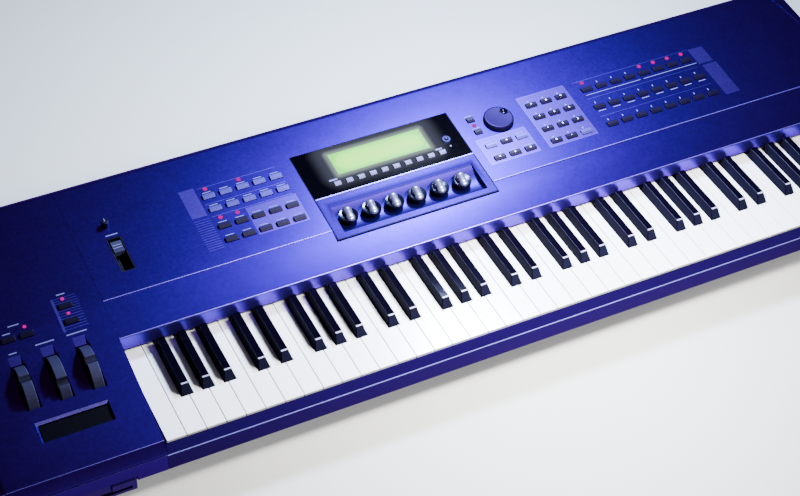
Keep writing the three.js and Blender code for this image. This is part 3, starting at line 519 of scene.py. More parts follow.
def left_block():
    """The moulded left end, open for the wheels, touch strip, disk drive and buttons."""
    body = new()
    add_end_moulding(body, COVER_BOTTOM, CASE_LEFT, BLOCK_RIGHT, 0)
    piece = mesh_object("block_cover", body, KEYBOARD)
    inside = new()
    add_end_moulding(inside, COVER_BOTTOM - 8, CASE_LEFT, BLOCK_RIGHT - WALL, WALL)
    carve(piece, inside, KEYBOARD)
    cuts = end_cuts(CASE_LEFT - 1, BLOCK_RIGHT + 1)
    add_box(cuts, *DRIVE_X, -9, 6, BELOW_ALL, -35.5)
    carve(piece, cuts, KEYBOARD)
    recess = new()
    run, drop, over = 6.4, 6, -1
    (x0, x1), (y0, y1) = RIBBON_X, RIBBON_Y
    floor_line = [(x, y, drop) for y in (y0, y1) for x in (x0, x1)]
    rim_line = [(x, y, over) for y in (y0, y1 + run) for x in (x0 - run, x1 + 1.5)]
    add_hull(recess, [(x, y, (y - BLOCK_EDGE[0]) * RISE - down) for x, y, down in floor_line + rim_line])
    carve(piece, recess, KEYBOARD)
    holes = new()
    for x in WHEEL_X:
        button_pocket(holes, x, WHEEL_V, *WHEEL_SLOT)
    for x, y in OCTAVE_AT:
        button_pocket(holes, x, LOWER.v(y), *BUTTON)
    carve(piece, holes, LOWER.matrix)
    ramps = new()
    for x in WHEEL_X:
        add_hull(ramps, [(x + side, v, w) for side in (-7.5, 7.5) for v, w in WHEEL_RAMP])
    carve(piece, ramps, LOWER.matrix)
    pockets = new()
    for x, y in SCENE_AT:
        button_pocket(pockets, x, SCENE_KEYS.v(y), *BUTTON)
    carve(piece, pockets, SCENE_KEYS.matrix)
    finish(piece, PAINT, *CASE, ["left_block_cover"], bevel=0.5)
    # The front edge rounding and the groove ledge in the light edge paint: painted highlight.
    repaint(piece, EDGE_HIGHLIGHT_PAINT, on_front_edges)
    # The sloped ramps behind the wheel slots in the light print blue: painted highlight.
    repaint(piece, PRINT_AND_HIGHLIGHT_BLUE, lambda n, c: 142 < c.y < 172 and -130 < c.x < -30 and 0.5 < n.z < 0.975)
    # The back wall of the touch strip's recess in the light edge paint: painted highlight.
    repaint(piece, EDGE_HIGHLIGHT_PAINT, lambda n, c: y1 < c.y < y1 + run and n.y < -0.5 and x0 - run < c.x < x1 + 2)


def right_cheek():
    """The moulded right end, outside the curved seam."""
    body = new()
    add_end_moulding(body, COVER_BOTTOM, CASE_RIGHT, 1020, 0)
    piece = mesh_object("end_cheek", body, KEYBOARD)
    plan = new()
    add_prism(plan, [(990, CASE_FRONT - 2), *seam_line(0), (990, CASE_BACK + 2)], *SEAM_CUT_Z)
    carve(piece, plan, KEYBOARD)
    carve(piece, end_cuts(1000, CASE_RIGHT + 1), KEYBOARD)
    hollow = new()
    add_box(hollow, 1000, CASE_RIGHT - WALL, 172, BACK_NOTCH - 2, BELOW_ALL, FLANGE - 4)
    carve(piece, hollow, KEYBOARD)
    finish(piece, PAINT, *CASE, ["right_end_cheek"], bevel=0.5)
    # The front edge rounding and the groove ledge in the light edge paint: painted highlight.
    repaint(piece, EDGE_HIGHLIGHT_PAINT, on_front_edges)


BUTTON_PITCH = 22.2


def row(x0, count, y):
    return [(x0 + i * BUTTON_PITCH, y) for i in range(count)]


# The middles of the buttons of each node on the upper panel
GROUPS = {
    "mode_keys": row(171.4, 5, 304.4) + row(171.6, 5, 282.4),
    "effect_keys": row(171.6, 5, 253) + row(171.6, 5, 230.4),
    "dial_keys": [(532, 303.4), (532, 280.6)],
    "cursor_keys": row(536.2, 3, 253) + row(536.8, 3, 230.2),
    "keypad_keys": [spot for y in (298.4, 275.6, 252.8, 230) for spot in row(619.4, 3, y)],
    "program_keys": [spot for y in (297.8, 263.6, 230) for spot in row(703.6, 8, y)],
}
NARROW = (9.6, 7.8)
GREY_CAPS = {("cursor_keys", 0), ("cursor_keys", 2), ("keypad_keys", 11)}
# The openings of the display unit and the slider, as x and y ranges
UNIT = (288, 509, 180, 328)
SLIDER = (32.8, 50.9, 230, 285)
DIAL = (566.2, 290.3)
GAIN = (39.5, 306)
STEP = 0.45
LIP_Y = 142.5


def cap_size(node):
    return NARROW if node == "dial_keys" else BUTTON


def top_panel():
    """The bent sheet, with a fine step at the crease and a rounded lip over the keys."""
    foot = (LIP_Y, 6)
    below_step = [(y, (y - BLOCK_EDGE[0]) * RISE - STEP) for y in (LIP_Y, 195.9)]
    line = [foot, *below_step, (196.4, CREASE[1] - 0.1), BACK_EDGE, *BACK_BEND, (CASE_BACK, FLANGE)]
    outer = rounded(line, [2.2, 0.25, 0.35, 10, 6, 6])
    inner = offset([foot, (LIP_Y, 25.6), CREASE, BACK_EDGE, *BACK_BEND, (CASE_BACK, FLANGE)], 2)
    body = new()
    add_prism(body, outer + inner[::-1], BLOCK_RIGHT + 0.3, CASE_RIGHT, "x")
    piece = mesh_object("panel", body, KEYBOARD)
    cuts = new()
    add_prism(cuts, [(1100, CASE_FRONT - 2), *seam_line(-0.5), (1100, CASE_BACK + 2)], *SEAM_CUT_Z)
    x0, x1, y0, y1 = UNIT
    add_box(cuts, x0, x1, y0, y1, 0, ABOVE_ALL)
    carve(piece, cuts, KEYBOARD)
    holes = new()
    for node, centres in GROUPS.items():
        for x, y in centres:
            button_pocket(holes, x, UPPER.v(y), *cap_size(node))
    x0, x1, y0, y1 = SLIDER
    add_box(holes, x0, x1, UPPER.v(y0), UPPER.v(y1), -12, 6)
    for x, y in (DIAL, GAIN):
        add_bar(holes, 3.6, -12, 6, (x, UPPER.v(y), 0))
    carve(piece, holes, UPPER.matrix)
    finish(piece, PAINT, *CASE, ["top_panel"], bevel=0.3, segments=2)
    # The lip's front face in the lighter paint: painted light.
    repaint(piece, LIP_FACE_LIGHT_PAINT, lambda n, c: n.y < -0.86 and c.y < foot[0] + 1)
    # The rounding along the top of the lip in the light edge paint: painted highlight.
    repaint(piece, EDGE_HIGHLIGHT_PAINT, lambda n, c: -0.86 < n.y < -0.3 and n.z > 0.3 and c.y < foot[0] + 3)


def crease_bead():
    """The raised line where the panel bends, on both sides of the display, in a painted highlight."""
    section = [(-0.7, -0.4), (-0.6, 0.3), (-0.2, 0.65), (0.2, 0.65), (0.6, 0.35), (0.7, -0.3)]
    for name, x0, x1 in (("left", BLOCK_RIGHT + 0.6, UNIT[0] - 0.8), ("right", UNIT[1] + 0.8, 1056.5)):
        bead = new()
        add_prism(bead, section, x0, x1, "x")
        build(f"crease_bead_{name}", bead, UPPER.matrix, EDGE_HIGHLIGHT_PAINT, *CASE, bevel=0.12)


def front_rail():
    """The rail in front of the keys, painted darker as painted shade, with a painted highlight along its
    ledge.
    """
    line = [(-3, COVER_BOTTOM), (CASE_FRONT, COVER_BOTTOM), (CASE_FRONT, -19.6), (-4.2, -18.6), (-1.6, -2.2),
            (-1, -2.2), (-1, -16), (-3, -21)]
    body = new()
    add_prism(body, line, BLOCK_RIGHT + 0.3, 1057.9, "x")
    piece = build("rail", body, KEYBOARD, RAIL_SHADE_PAINT, *CASE, "front_rail", bevel=0.35, angle=15)
    # The rail's ledge in the light paint: painted highlight.
    repaint(piece, RAIL_HIGHLIGHT, lambda n, c: n.z > 0.5 and c.y < -3.5)


left_block()
right_cheek()
top_panel()
crease_bead()
front_rail()

# ---- Keys ----

PITCH = 23.5
WHITES = 45
FIRST_NOTE = 2
# How far each black key stands from the middle of the gap, by the note of the white key before it
SHIFT = {0: -2.6, 1: 2.1, 3: -2.1, 4: 0.0, 5: 2.7}
NOTCH = 7.65
KEY_GAP = 1
KEY_HEAD = 53.2
KEY_BACK = 199
KEY_LIP = 2.5
KEY_UNDER = -4
KEY_FOOT = -19


def note(white):
    """The white key's place in its octave, 0 to 6."""
    return (white + FIRST_NOTE) % 7


def black_x(white):
    """Middle of the black key after a white key, or None."""
    if note(white) not in SHIFT or not 0 <= white < WHITES - 1:
        return None
    return (white + 1) * PITCH + SHIFT[note(white)]


def comb_of(white):
    """The number of the octave comb that carries the key."""
    return (white + FIRST_NOTE) // 7 + 1


def add_key_top(bm, corners, lip, under, foot):
    """A key's plate and front lip. Its corners start at the front left, front right and right of the lip."""
    top = [bm.verts.new((x, y, 0)) for x, y in corners]
    below = [bm.verts.new((x, y, under)) for x, y in corners[2:]]
    left, right = corners[0][0], corners[1][0]
    foot_line = [bm.verts.new((x, y, foot)) for x, y in ((left, 0), (right, 0), (right, lip), (left, lip))]
    bm.faces.new(top)
    bm.faces.new(below)
    for i in range(len(below) - 1):
        bm.faces.new((top[i + 2], top[i + 3], below[i + 1], below[i]))
    bm.faces.new((top[0], top[1], foot_line[1], foot_line[0]))
    bm.faces.new((top[1], top[2], below[0], foot_line[2], foot_line[1]))
    bm.faces.new((top[0], foot_line[0], foot_line[3], below[-1], top[-1]))
    bm.faces.new((below[0], below[-1], foot_line[3], foot_line[2]))
    bm.faces.new(foot_line)


def white_key(white):
    """A white key, cut away at its back for the black keys beside it."""
    left = white * PITCH + KEY_GAP / 2
    right = left + PITCH - KEY_GAP
    before, after = black_x(white - 1), black_x(white)
    waist_left = left if before is None else before + NOTCH
    waist_right = right if after is None else after - NOTCH
    outline = [(left, 0), (right, 0), (right, KEY_LIP), (right, KEY_HEAD), (waist_right, KEY_HEAD),
               (waist_right, KEY_BACK), (waist_left, KEY_BACK), (waist_left, KEY_HEAD), (left, KEY_HEAD),
               (left, KEY_LIP)]
    corners = [p for i, p in enumerate(outline) if p != outline[i - 1]]
    body = new()
    add_key_top(body, corners, KEY_LIP, KEY_UNDER, KEY_FOOT)
    comb = f"white_keys_{comb_of(white)}"
    build(f"white_key_{white + 1:02d}", body, KEYBOARD, WHITE_KEY, comb, "white_key", comb, bevel=0.55,
          angle=60)


def black_key(white):
    """The black key after a white key, with painted highlights on edges and ridges, painted light on sides
    and front.
    """
    x = black_x(white)
    lower, upper = 13.7 / 2, 8.8 / 2
    front, top_front, back = 54.5, 61, 139.6
    foot, shoulder, top = -6, 0.5, 12
    body = new()
    points = []
    for side in (-1, 1):
        base, crown = x + side * lower, x + side * upper
        points += [(base, front, foot), (base, front, shoulder), (base, back, foot), (base, back, shoulder),
                   (crown, top_front, top), (crown, back, top)]
    add_hull(body, points)
    piece = mesh_object(f"black_key_{white + 1:02d}", body, KEYBOARD)
    comb = f"black_keys_{comb_of(white)}"
    finish(piece, BLACK_KEY, comb, "black_key", [comb], bevel=1.2, segments=4, angle=20)
    apply_modifiers(piece)
    # Each face of the black key gets a lit copy of its plastic, by the way it turns: painted light and
    # painted highlights.
    repaint(piece, KEY_SIDE_LIGHT, lambda n, c: abs(n.x) > 0.8)
    repaint(piece, KEY_RIDGE_HIGHLIGHT, lambda n, c: 0.45 < abs(n.x) <= 0.8 and abs(n.y) < 0.3)
    repaint(piece, KEY_FRONT_LIGHT, lambda n, c: n.y < -0.8)
    repaint(piece, KEY_EDGE_HIGHLIGHT, lambda n, c: -0.75 < n.y < -0.12 and n.z > 0.5 and abs(n.x) < 0.25)


for white in range(WHITES):
    white_key(white)
    if black_x(white) is not None:
        black_key(white)

# ---- Buttons, lamps and printed marks ----

CAP_RISE = 2.4
PRINT_ROOT = -0.05
FIGURE_UP = 0.6


def mark(name, slope, x, y, width, depth, material=PRINT_WHITE, height=0.08):
    """A printed bar, a hair thick, on a panel."""
    v = slope.v(y)
    made = new()
    add_box(made, x - width / 2, x + width / 2, v - depth / 2, v + depth / 2, PRINT_ROOT, height)
    build(name, made, slope.matrix, material, *CASE)


def frame_line(name, slope, x0, x1, y0, y1, line=0.7, height=0.06):
    """A printed outline."""
    v0, v1 = slope.v(y0), slope.v(y1)
    made = new()
    for a0, a1, b0, b1 in ((x0, x1, v0, v0 + line), (x0, x1, v1 - line, v1),
                           (x0, x0 + line, v0 + line, v1 - line), (x1 - line, x1, v0 + line, v1 - line)):
        add_box(made, a0, a1, b0, b1, PRINT_ROOT, height)
    build(name, made, slope.matrix, PRINT_EDGE, *CASE)


def lamp(name, slope, x, y, radius=2.8):
    """A lit, domed indicator."""
    profile = [(0, -2), (radius, -2), (radius, 0.5), (radius * 0.8, 1.1), (radius * 0.4, 1.5), (0, 1.6)]
    made = new()
    add_turned(made, profile, (x, slope.v(y), 0), segments=20)
    build(name, made, slope.matrix, LAMP_LIT, "case", "display_glass")


def button_cap(name, slope, x, y, size, material, body, slot, rise=CAP_RISE):
    """A button's cap: a ramp up from its front edge, then level."""
    width, half = size[0], size[1] / 2
    middle = slope.v(y)
    profile = [(-half, -4), (-half, rise * 0.4), (-half * 0.3, rise), (half - 0.6, rise), (half, rise - 0.6),
               (half, -4)]
    made = new()
    add_prism(made, [(middle + p, w) for p, w in profile], x - width / 2, x + width / 2, "x")
    build(name, made, slope.matrix, material, body, slot, body, bevel=0.3, angle=25)


for node, centres in GROUPS.items():
    for i, (x, y) in enumerate(centres):
        grey = node == "mode_keys" or (node, i) in GREY_CAPS
        look, slot = (GREY_BUTTON, "grey_button") if grey else (DARK_BUTTON, "dark_button")
        button_cap(f"{node}_{i + 1}", UPPER, x, y, cap_size(node), look, node, slot)
for kind, slope, centres in (("octave", LOWER, OCTAVE_AT), ("scene", SCENE_KEYS, SCENE_AT)):
    for i, (x, y) in enumerate(centres):
        button_cap(f"{kind}_key_{i + 1}", slope, x, y, BUTTON, DARK_BUTTON, f"{kind}_keys", "dark_button")


def digit(name, text, x, v):
    """A small raised figure on a keypad button."""
    curve = bpy.data.curves.new(name, "FONT")
    curve.body = text
    curve.size = 4.2
    curve.extrude = 0.06
    curve.align_x = "CENTER"
    curve.align_y = "CENTER"
    lettered = bpy.data.objects.new(name, curve)
    bpy.context.scene.collection.objects.link(lettered)
    bpy.context.view_layer.update()
    mesh = bpy.data.meshes.new_from_object(lettered.evaluated_get(bpy.context.evaluated_depsgraph_get()))
    bpy.data.objects.remove(lettered)
    closed = new()
    closed.from_mesh(mesh)
    bmesh.ops.remove_doubles(closed, verts=closed.verts, dist=1e-4)
    closed.to_mesh(mesh)
    closed.free()
    mesh.transform(UPPER.matrix @ Matrix.Translation((x, v, CAP_RISE + 0.02)))
    piece = bpy.data.objects.new(name, mesh)
    bpy.context.scene.collection.objects.link(piece)
    finish(piece, PRINT_BRIGHT, "keypad_keys", "dark_button", bevel=0)


KEYPAD_FIGURES = "7894561230-"
for i, (figure, (x, y)) in enumerate(zip(KEYPAD_FIGURES, GROUPS["keypad_keys"])):
    digit(f"figure_{i + 1}", figure, x, UPPER.v(y) + FIGURE_UP)


def arrow(name, x, v, turn):
    """A small raised triangle on a cursor key."""
    angles = [math.radians(turn + third) for third in (0, 120, 240)]
    corners = [(x + 1.5 * math.cos(angle), v + 1.5 * math.sin(angle)) for angle in angles]
    made = new()
    add_prism(made, corners, 2.3, 2.52)
    build(name, made, UPPER.matrix, PRINT_BRIGHT, "cursor_keys", "dark_button")


for i, turn in ((1, 90), (3, 180), (4, 270), (5, 0)):
    x, y = GROUPS["cursor_keys"][i]
    arrow(f"arrow_{i}", x, UPPER.v(y) + FIGURE_UP, turn)

LAMPS = [(171.6, 317.4), (215.6, 317.3), (171.8, 267.3), (193.8, 267.1), (532.3, 292.8), (703.6, 311),
         (792.4, 311), (814.6, 311), (836.8, 311), (859, 311)]
for i, (x, y) in enumerate(LAMPS):
    lamp(f"lamp_{i + 1}", UPPER, x, y)
lamp("lamp_octave", LOWER, -95.3, 195.6, 2.2)
lamp("lamp_scene_1", SCENE_KEYS, -43.4, 195.6, 2.2)
lamp("lamp_scene_2", SCENE_KEYS, -43.4, 217.6, 2.2)

# The program buttons whose lamp is lit; the others have a printed mark over them instead
LIT_PROGRAMS = (0, 4, 5, 6, 7)

# Printed blocks as x and y ranges; two of them have an outline
FRAMED = [(606, 677, 221.5, 317), (521, 592, 222, 268)]
PATCHES = [(139, 158.5, 276, 324), (205, 271.5, 223.5, 270), *FRAMED, (872.5, 895, 285, 315),
           (875, 897, 221, 282)]
for i, (x0, x1, y0, y1) in enumerate(PATCHES):
    mark(f"print_block_{i + 1}", UPPER, (x0 + x1) / 2, (y0 + y1) / 2, x1 - x0, y1 - y0, PRINT_AND_HIGHLIGHT_BLUE, 0.04)
for i, corners in enumerate(FRAMED):
    frame_line(f"print_frame_{i + 1}", UPPER, *corners)

# Stripes beside the scene buttons, across the crease, and left of the effect buttons
STRIPE_GAP = 3.8
for i in range(13):
    y = 174.5 + i * STRIPE_GAP
    mark(f"print_scene_stripe_{i + 1}", LOWER if y < CREASE[0] else UPPER, -42, y, 30, 0.8, PRINT_EDGE, 0.04)
for name, slope, y0, y1 in (("front", LOWER, 172, 196.6), ("back", UPPER, 197.4, 221)):
    mark(f"print_scene_band_{name}", slope, -55.4, (y0 + y1) / 2, 3, y1 - y0, PRINT_EDGE, 0.05)
for i, (x, y, width) in enumerate(((781, 315.4, 180), (781, 281.4, 172), (781, 247, 172),
                                   (214, 320.6, 104), (215, 292.8, 106), (215, 271.6, 106))):
    mark(f"print_rule_{i + 1}", UPPER, x, y, width, 0.6, PRINT_EDGE, 0.04)
for i in range(14):
    mark(f"print_stripe_{i + 1}", UPPER, 149, 271 - i * STRIPE_GAP, 20, 1.1, PRINT_AND_HIGHLIGHT_BLUE, 0.04)

# Bars that stand for the printed words over and under the buttons
for node in ("mode_keys", "effect_keys", "dial_keys", "cursor_keys"):
    for i, (x, y) in enumerate(GROUPS[node]):
        mark(f"print_{node}_{i + 1}", UPPER, x, y + 7.2, 11, 1.1)
for i, (x, y) in enumerate(GROUPS["keypad_keys"]):
    mark(f"print_keypad_{i + 1}", UPPER, x - 1, y + 8, 2, 2.6)
for i, (x, y) in enumerate(GROUPS["program_keys"]):
    if i not in LIT_PROGRAMS:
        mark(f"print_program_{i + 1}", UPPER, x - 2, y + 9, 1.3, 3)
    if 8 <= i < 16:
        mark(f"print_under_{i - 7}", UPPER, x, y - 7, 11, 1)
for i in range(2):
    mark(f"print_bank_{i + 1}", UPPER, 739.4 + 4 * BUTTON_PITCH * i, 288.4, 84, 0.75)
mark("print_slider", UPPER, 41.8, 289.6, 15, 1.6)
mark("print_soft_left", UPPER, 324, 272.8, 11, 2.4, height=0.5)
mark("print_soft_right", UPPER, 470.2, 272.1, 9, 2.4, height=0.5)
for i, (x, y, width) in enumerate(zip(WHEEL_X, (166, 167.5, 167.5), (9, 22, 24))):
    mark(f"print_wheel_{i + 1}", LOWER, x, y, width, 1.6)
mark("print_scene", SCENE_KEYS, -43.4, 224.5, 10, 1.6)
mark("print_octave_1", LOWER, -106.5, 201.5, 13, 1.5)
mark("print_octave_2", LOWER, -117.4, 192.8, 9, 1.5)

# ---- Display and knob tray ----

PLATE_X = (289.2, 507.8)
PLATE_Y = (250.6, 327.2)
SOFT_X = [326.8 + 16.2 * i for i in range(10)]
SOFT_Y = 265.4
SOFT_CAP = (8.6, 6.4)
CONTRAST = (487.2, 284)
KNOB_X = [317.4 + 31.16 * i for i in range(6)]
KNOB_Y = 213


def display():
    """The black plate, its lit screen, the buttons under that and the ring-shaped knob."""
    plate = new()
    add_box(plate, *PLATE_X, UPPER.v(PLATE_Y[0]), UPPER.v(PLATE_Y[1]), -3, 0.3)
    piece = mesh_object("display_plate", plate, UPPER.matrix)
    holes = new()
    for x in SOFT_X:
        button_pocket(holes, x, UPPER.v(SOFT_Y), *SOFT_CAP, 0.4)
    x, y = CONTRAST
    v = UPPER.v(y)
    add_bar(holes, 6.1, -12, 6, (x, v, 0))
    carve(piece, holes, UPPER.matrix)
    finish(piece, DISPLAY_GLASS, "case", "display_glass", ["display_window"], bevel=0.25)
    screen = new()
    x0, x1, y0, y1 = SCREEN
    add_box(screen, x0, x1, UPPER.v(y0), UPPER.v(y1), 0.0, 0.36)
    build("display_screen", screen, UPPER.matrix, LCD_GREEN, "case", "lcd_green")
    for i, soft_x in enumerate(SOFT_X):
        button_cap(f"soft_key_{i + 1}", UPPER, soft_x, SOFT_Y, SOFT_CAP, PALE_BUTTON, "soft_keys",
                   "pale_button", 2.0)
    ring = new()
    profile = [(0, -3), (5.6, -3), (5.6, 1.2), (5.0, 1.9), (3.2, 1.9), (2.6, 1.2), (0, 1.0)]
    add_turned(ring, profile, (x, v, 0))
    knob = "contrast_knob"
    piece = build("contrast_ring", ring, UPPER.matrix, RING_BLUE, knob, "knob_blue", knob)
    centre = KEYBOARD.inverted() @ UPPER.matrix @ Vector((x, v, 1))
    repaint(piece, KNOB_BLACK_AND_SHADE, lambda n, c: (c - centre).length < 2.8 and n.z > 0.8)
    dot = new()
    add_turned(dot, [(0, 0), (1.2, 0), (1.2, 0.5), (0, 0.6)], (487.5, UPPER.v(271.7), 0), segments=20)
    build("print_dot", dot, UPPER.matrix, PRINT_WHITE, "case", "display_glass")


def knob_tray():
    """The tray, with a trough scooped along one smooth curve."""
    back = TRAY.v(250)
    body = new()
    add_box(body, *PLATE_X, 1.5, back, -12, 0)
    piece = mesh_object("tray", body, TRAY.matrix)
    start, middle, end = (55, 0), (30, -14), (9.6, -4)
    steps = 16
    curve = []
    for i in range(steps + 1):
        t = i / steps
        curve.append(tuple((1 - t) ** 2 * a + 2 * t * (1 - t) * b + t * t * c
                           for a, b, c in zip(start, middle, end)))
    trough = new()
    add_prism(trough, curve + [(end[0], 1), (start[0], 1)], 301.5, 497.5, "x")
    carve(piece, trough, TRAY.matrix)
    holes = new()
    for x in KNOB_X:
        add_bar(holes, 3.6, -16, 4, (x, TRAY.v(KNOB_Y), 0))
    carve(piece, holes, TRAY.matrix)
    # The tray in its darker paint: painted shade.
    finish(piece, SHADED_TRAY_PAINT, *CASE, ["knob_tray"], bevel=0.4)
    to_tray = TRAY.matrix.inverted() @ KEYBOARD
    # The trough's upward faces in the lighter paint: painted light.
    repaint(piece, LIT_TROUGH_PAINT, lambda n, c: n.z > 0 and (to_tray @ c).z < -0.2)
    # The trough's end wall that faces left gets the lighter drive paint instead of the tray paint, chosen by
    # the side it faces: painted light.
    repaint(piece, DRIVE_FACE, lambda n, c: n.x < -0.9 and c.x > 490)
    # The ridge along the back of the tray, in the light edge paint: painted highlight.
    ridge = new()
    add_prism(ridge, [(back - 1.9, -0.3), (back - 1.5, 0.5), (back - 1, 0.8), (back - 0.3, 0.8), (back, 0.4),
                      (back, -0.3)], 289.4, 507.6, "x")
    build("tray_ridge", ridge, TRAY.matrix, EDGE_HIGHLIGHT_PAINT, *CASE, bevel=0.1)


def grip_section(along):
    """Half width and top height of the grip bar, from its rounded front to the ball at its back."""
    ball, waist, front = 6.2, 5.1, 5.9
    back_start, front_start = 5.0, -5.4
    if along > back_start:
        fall = math.sqrt(1 - ((along - back_start) / ball) ** 2)
        return ball * fall, 1.6 + ball * fall
    if along > front_start:
        share = (along - front_start) / (back_start - front_start)
        pinch = math.sin(math.pi * share) ** 2
        width = front + (ball - front) * share
        return width - (width - waist) * pinch, 5.2 + 2.6 * share ** 1.3
    fall = math.sqrt(1 - ((along - front_start) / front) ** 2)
    return front * fall, 0.8 + 4.4 * fall


def gap_shade_strip():
    """A black strip in the gap round the display unit, as painted shade: across its back and front, and down
    both sides.
    """
    x0, x1 = UNIT[0] + 0.1, UNIT[1] - 0.1
    side = 1.05
    for name, slope, cross, depth, v0, v1 in (
            ("display", UPPER, UPPER.v(UNIT[3]) - 0.7, 0.6, UPPER.v(PLATE_Y[0]), UPPER.v(UNIT[3]) - 0.7),
            ("tray", TRAY, 0.1, 1.36, 1.46, TRAY.v(249.9))):
        made = new()
        add_box(made, x0, x1, cross, cross + depth, -6, -0.15)
        add_box(made, x0, x0 + side, v0, v1, -6, -0.15)
        add_box(made, x1 - side, x1, v0, v1, -6, -0.15)
        build(f"gasket_{name}", made, slope.matrix, STRIP_BLACK, "case", "black_plastic")


def tone_knob(i, x):
    """A dished black skirt, a bright grip bar across it and the shaft under it."""
    v = TRAY.v(KNOB_Y)
    body = f"tone_knob_{i + 1}"
    skirt = new()
    profile = [(0, -3.8), (11.4, -3.8), (12, -3.2), (12, 0.7), (11.6, 1.2), (4, 0), (0, 0)]
    add_turned(skirt, profile, (x, v, 0), segments=64)
    build(f"knob_skirt_{i + 1}", skirt, TRAY.matrix, KNOB_BLACK_AND_SHADE, body, "knob_blue", body)
    grip = new()
    rings = []
    front, length = -11.25, 22.4
    stations, arc_steps = 32, 16
    for station in range(stations + 1):
        along = front + length * (1 - math.cos(math.pi * station / stations)) / 2
        half, top = grip_section(along)
        ring = []
        for step in range(arc_steps + 1):
            turn = math.pi * step / arc_steps
            ring.append((x + half * math.cos(turn), v + along, -0.5 + (top + 0.5) * math.sin(turn) ** 0.6))
        rings.append([grip.verts.new(spot) for spot in ring])
    join_rings(grip, rings)
    build(f"knob_grip_{i + 1}", grip, TRAY.matrix, KNOB_BLUE, body, "knob_blue", angle=60)
    shaft = new()
    add_bar(shaft, 3, -15, -4, (x, v, 0), segments=24)
    build(f"knob_shaft_{i + 1}", shaft, TRAY.matrix, BARE_STEEL, body, "knob_blue", bevel=0.3)


display()
knob_tray()
gap_shade_strip()
for i, x in enumerate(KNOB_X):
    tone_knob(i, x)

# ---- Dial, small knob, slider ----


def data_dial():
    """The large dial, with a finger dimple painted black inside as painted shade."""
    x, y = DIAL
    v = UPPER.v(y)
    body = new()
    add_turned(body, [(0, 0.5), (19.4, 0.5), (20, 1.0), (19.6, 4.8), (19.0, 6.0), (18.0, 6.5), (16.8, 6.4),
                      (0, 6.0)], (x, v, 0), segments=96)
    piece = mesh_object("dial", body, UPPER.matrix)
    angle, out, radius = math.radians(33), 13.2, 5.6
    middle = Vector((x + out * math.cos(angle), v + out * math.sin(angle), 8.6))
    dimple = new()
    bmesh.ops.create_uvsphere(dimple, u_segments=32, v_segments=20, radius=radius,
                              matrix=Matrix.Translation(middle))
    carve(piece, dimple, UPPER.matrix)
    finish(piece, DIAL_BLUE, "data_dial", "knob_blue", ["data_dial"], bevel=0.2, angle=35)
    bowl = KEYBOARD.inverted() @ UPPER.matrix @ middle
    # The inside of the dimple in the black: painted shade.
    repaint(piece, KNOB_BLACK_AND_SHADE, lambda n, c: (c - bowl).length < radius + 0.02)


def gain_knob():
    x, y = GAIN
    v = UPPER.v(y)
    body = new()
    add_turned(body, [(0, -9), (3, -9), (3, 0.4), (4.7, 0.6), (4.5, 7.4), (4.0, 8.2), (0, 8.4)], (x, v, 0),
               segments=32)
    build("gain_knob_body", body, UPPER.matrix, BLACK_PLASTIC, "gain_knob", "black_plastic", "gain_knob",
          bevel=0.2)
    pointer = new()
    add_box(pointer, x - 0.5, x + 0.5, v - 0.5, v + 4.2, 8.2, 8.55)
    build("gain_knob_pointer", pointer, UPPER.matrix, PRINT_WHITE, "gain_knob", "black_plastic")


def volume_slider():
    """The slider's trough with a slit, and its dished cap with two lines, on a stem."""
    x0, x1, y0, y1 = SLIDER
    v0, v1 = UPPER.v(y0) + 0.3, UPPER.v(y1) - 0.3
    middle = (x0 + x1) / 2
    body = new()
    add_box(body, x0 + 0.3, x1 - 0.3, v0, v1, -10.2, -0.4)
    piece = mesh_object("slider_trough", body, UPPER.matrix)
    inner = new()
    add_box(inner, x0 + 1.5, x1 - 1.5, v0 + 1.2, v1 - 1.2, -9, 1)
    carve(piece, inner, UPPER.matrix)
    slit = new()
    add_box(slit, middle - 2.5, middle + 2.5, v0 + 4, v1 - 4, -20, 0)
    carve(piece, slit, UPPER.matrix)
    finish(piece, BLACK_PLASTIC, "case", "black_plastic", ["slider_track"], bevel=0.2)
    v = UPPER.v(269.5)
    stem = new()
    add_box(stem, middle - 1, middle + 1, v - 2.5, v + 2.5, -16, -7)
    build("slider_stem", stem, UPPER.matrix, BARE_STEEL, "volume_slider", "grey_button", bevel=0.3)
    profile = [(-8.7, -7), (-8.7, 0.2), (-7.9, 1), (-1.4, 0.6), (0, -0.2), (1.4, 0.6), (7.9, 1), (8.7, 0.2),
               (8.7, -7)]
    cap = new()
    add_prism(cap, [(v + along, up) for along, up in profile], middle - 6.4, middle + 6.4, "x")
    build("slider_cap", cap, UPPER.matrix, WHEEL, "volume_slider", "grey_button", "volume_slider", bevel=0.3)
    for i, shift in enumerate((-2.4, 1.8)):
        line = new()
        add_box(line, middle - 5.6, middle + 5.6, v + shift - 0.5, v + shift + 0.5, 0.2, 1.15)
        build(f"slider_line_{i + 1}", line, UPPER.matrix, PRINT_WHITE, "volume_slider", "grey_button")


data_dial()
gain_knob()
volume_slider()

# ---- Wheels, touch strip, disk drive ----

WHEEL_SPOT = KEYBOARD.inverted() @ (LOWER.matrix @ Vector((0, WHEEL_V, -WHEEL_SINK)))
# The angle of each wheel's finger notch, from straight up towards the back
WHEEL_NOTCHES = {"pitch_wheel": -8, "mod_wheel_1": -37, "mod_wheel_2": -12}


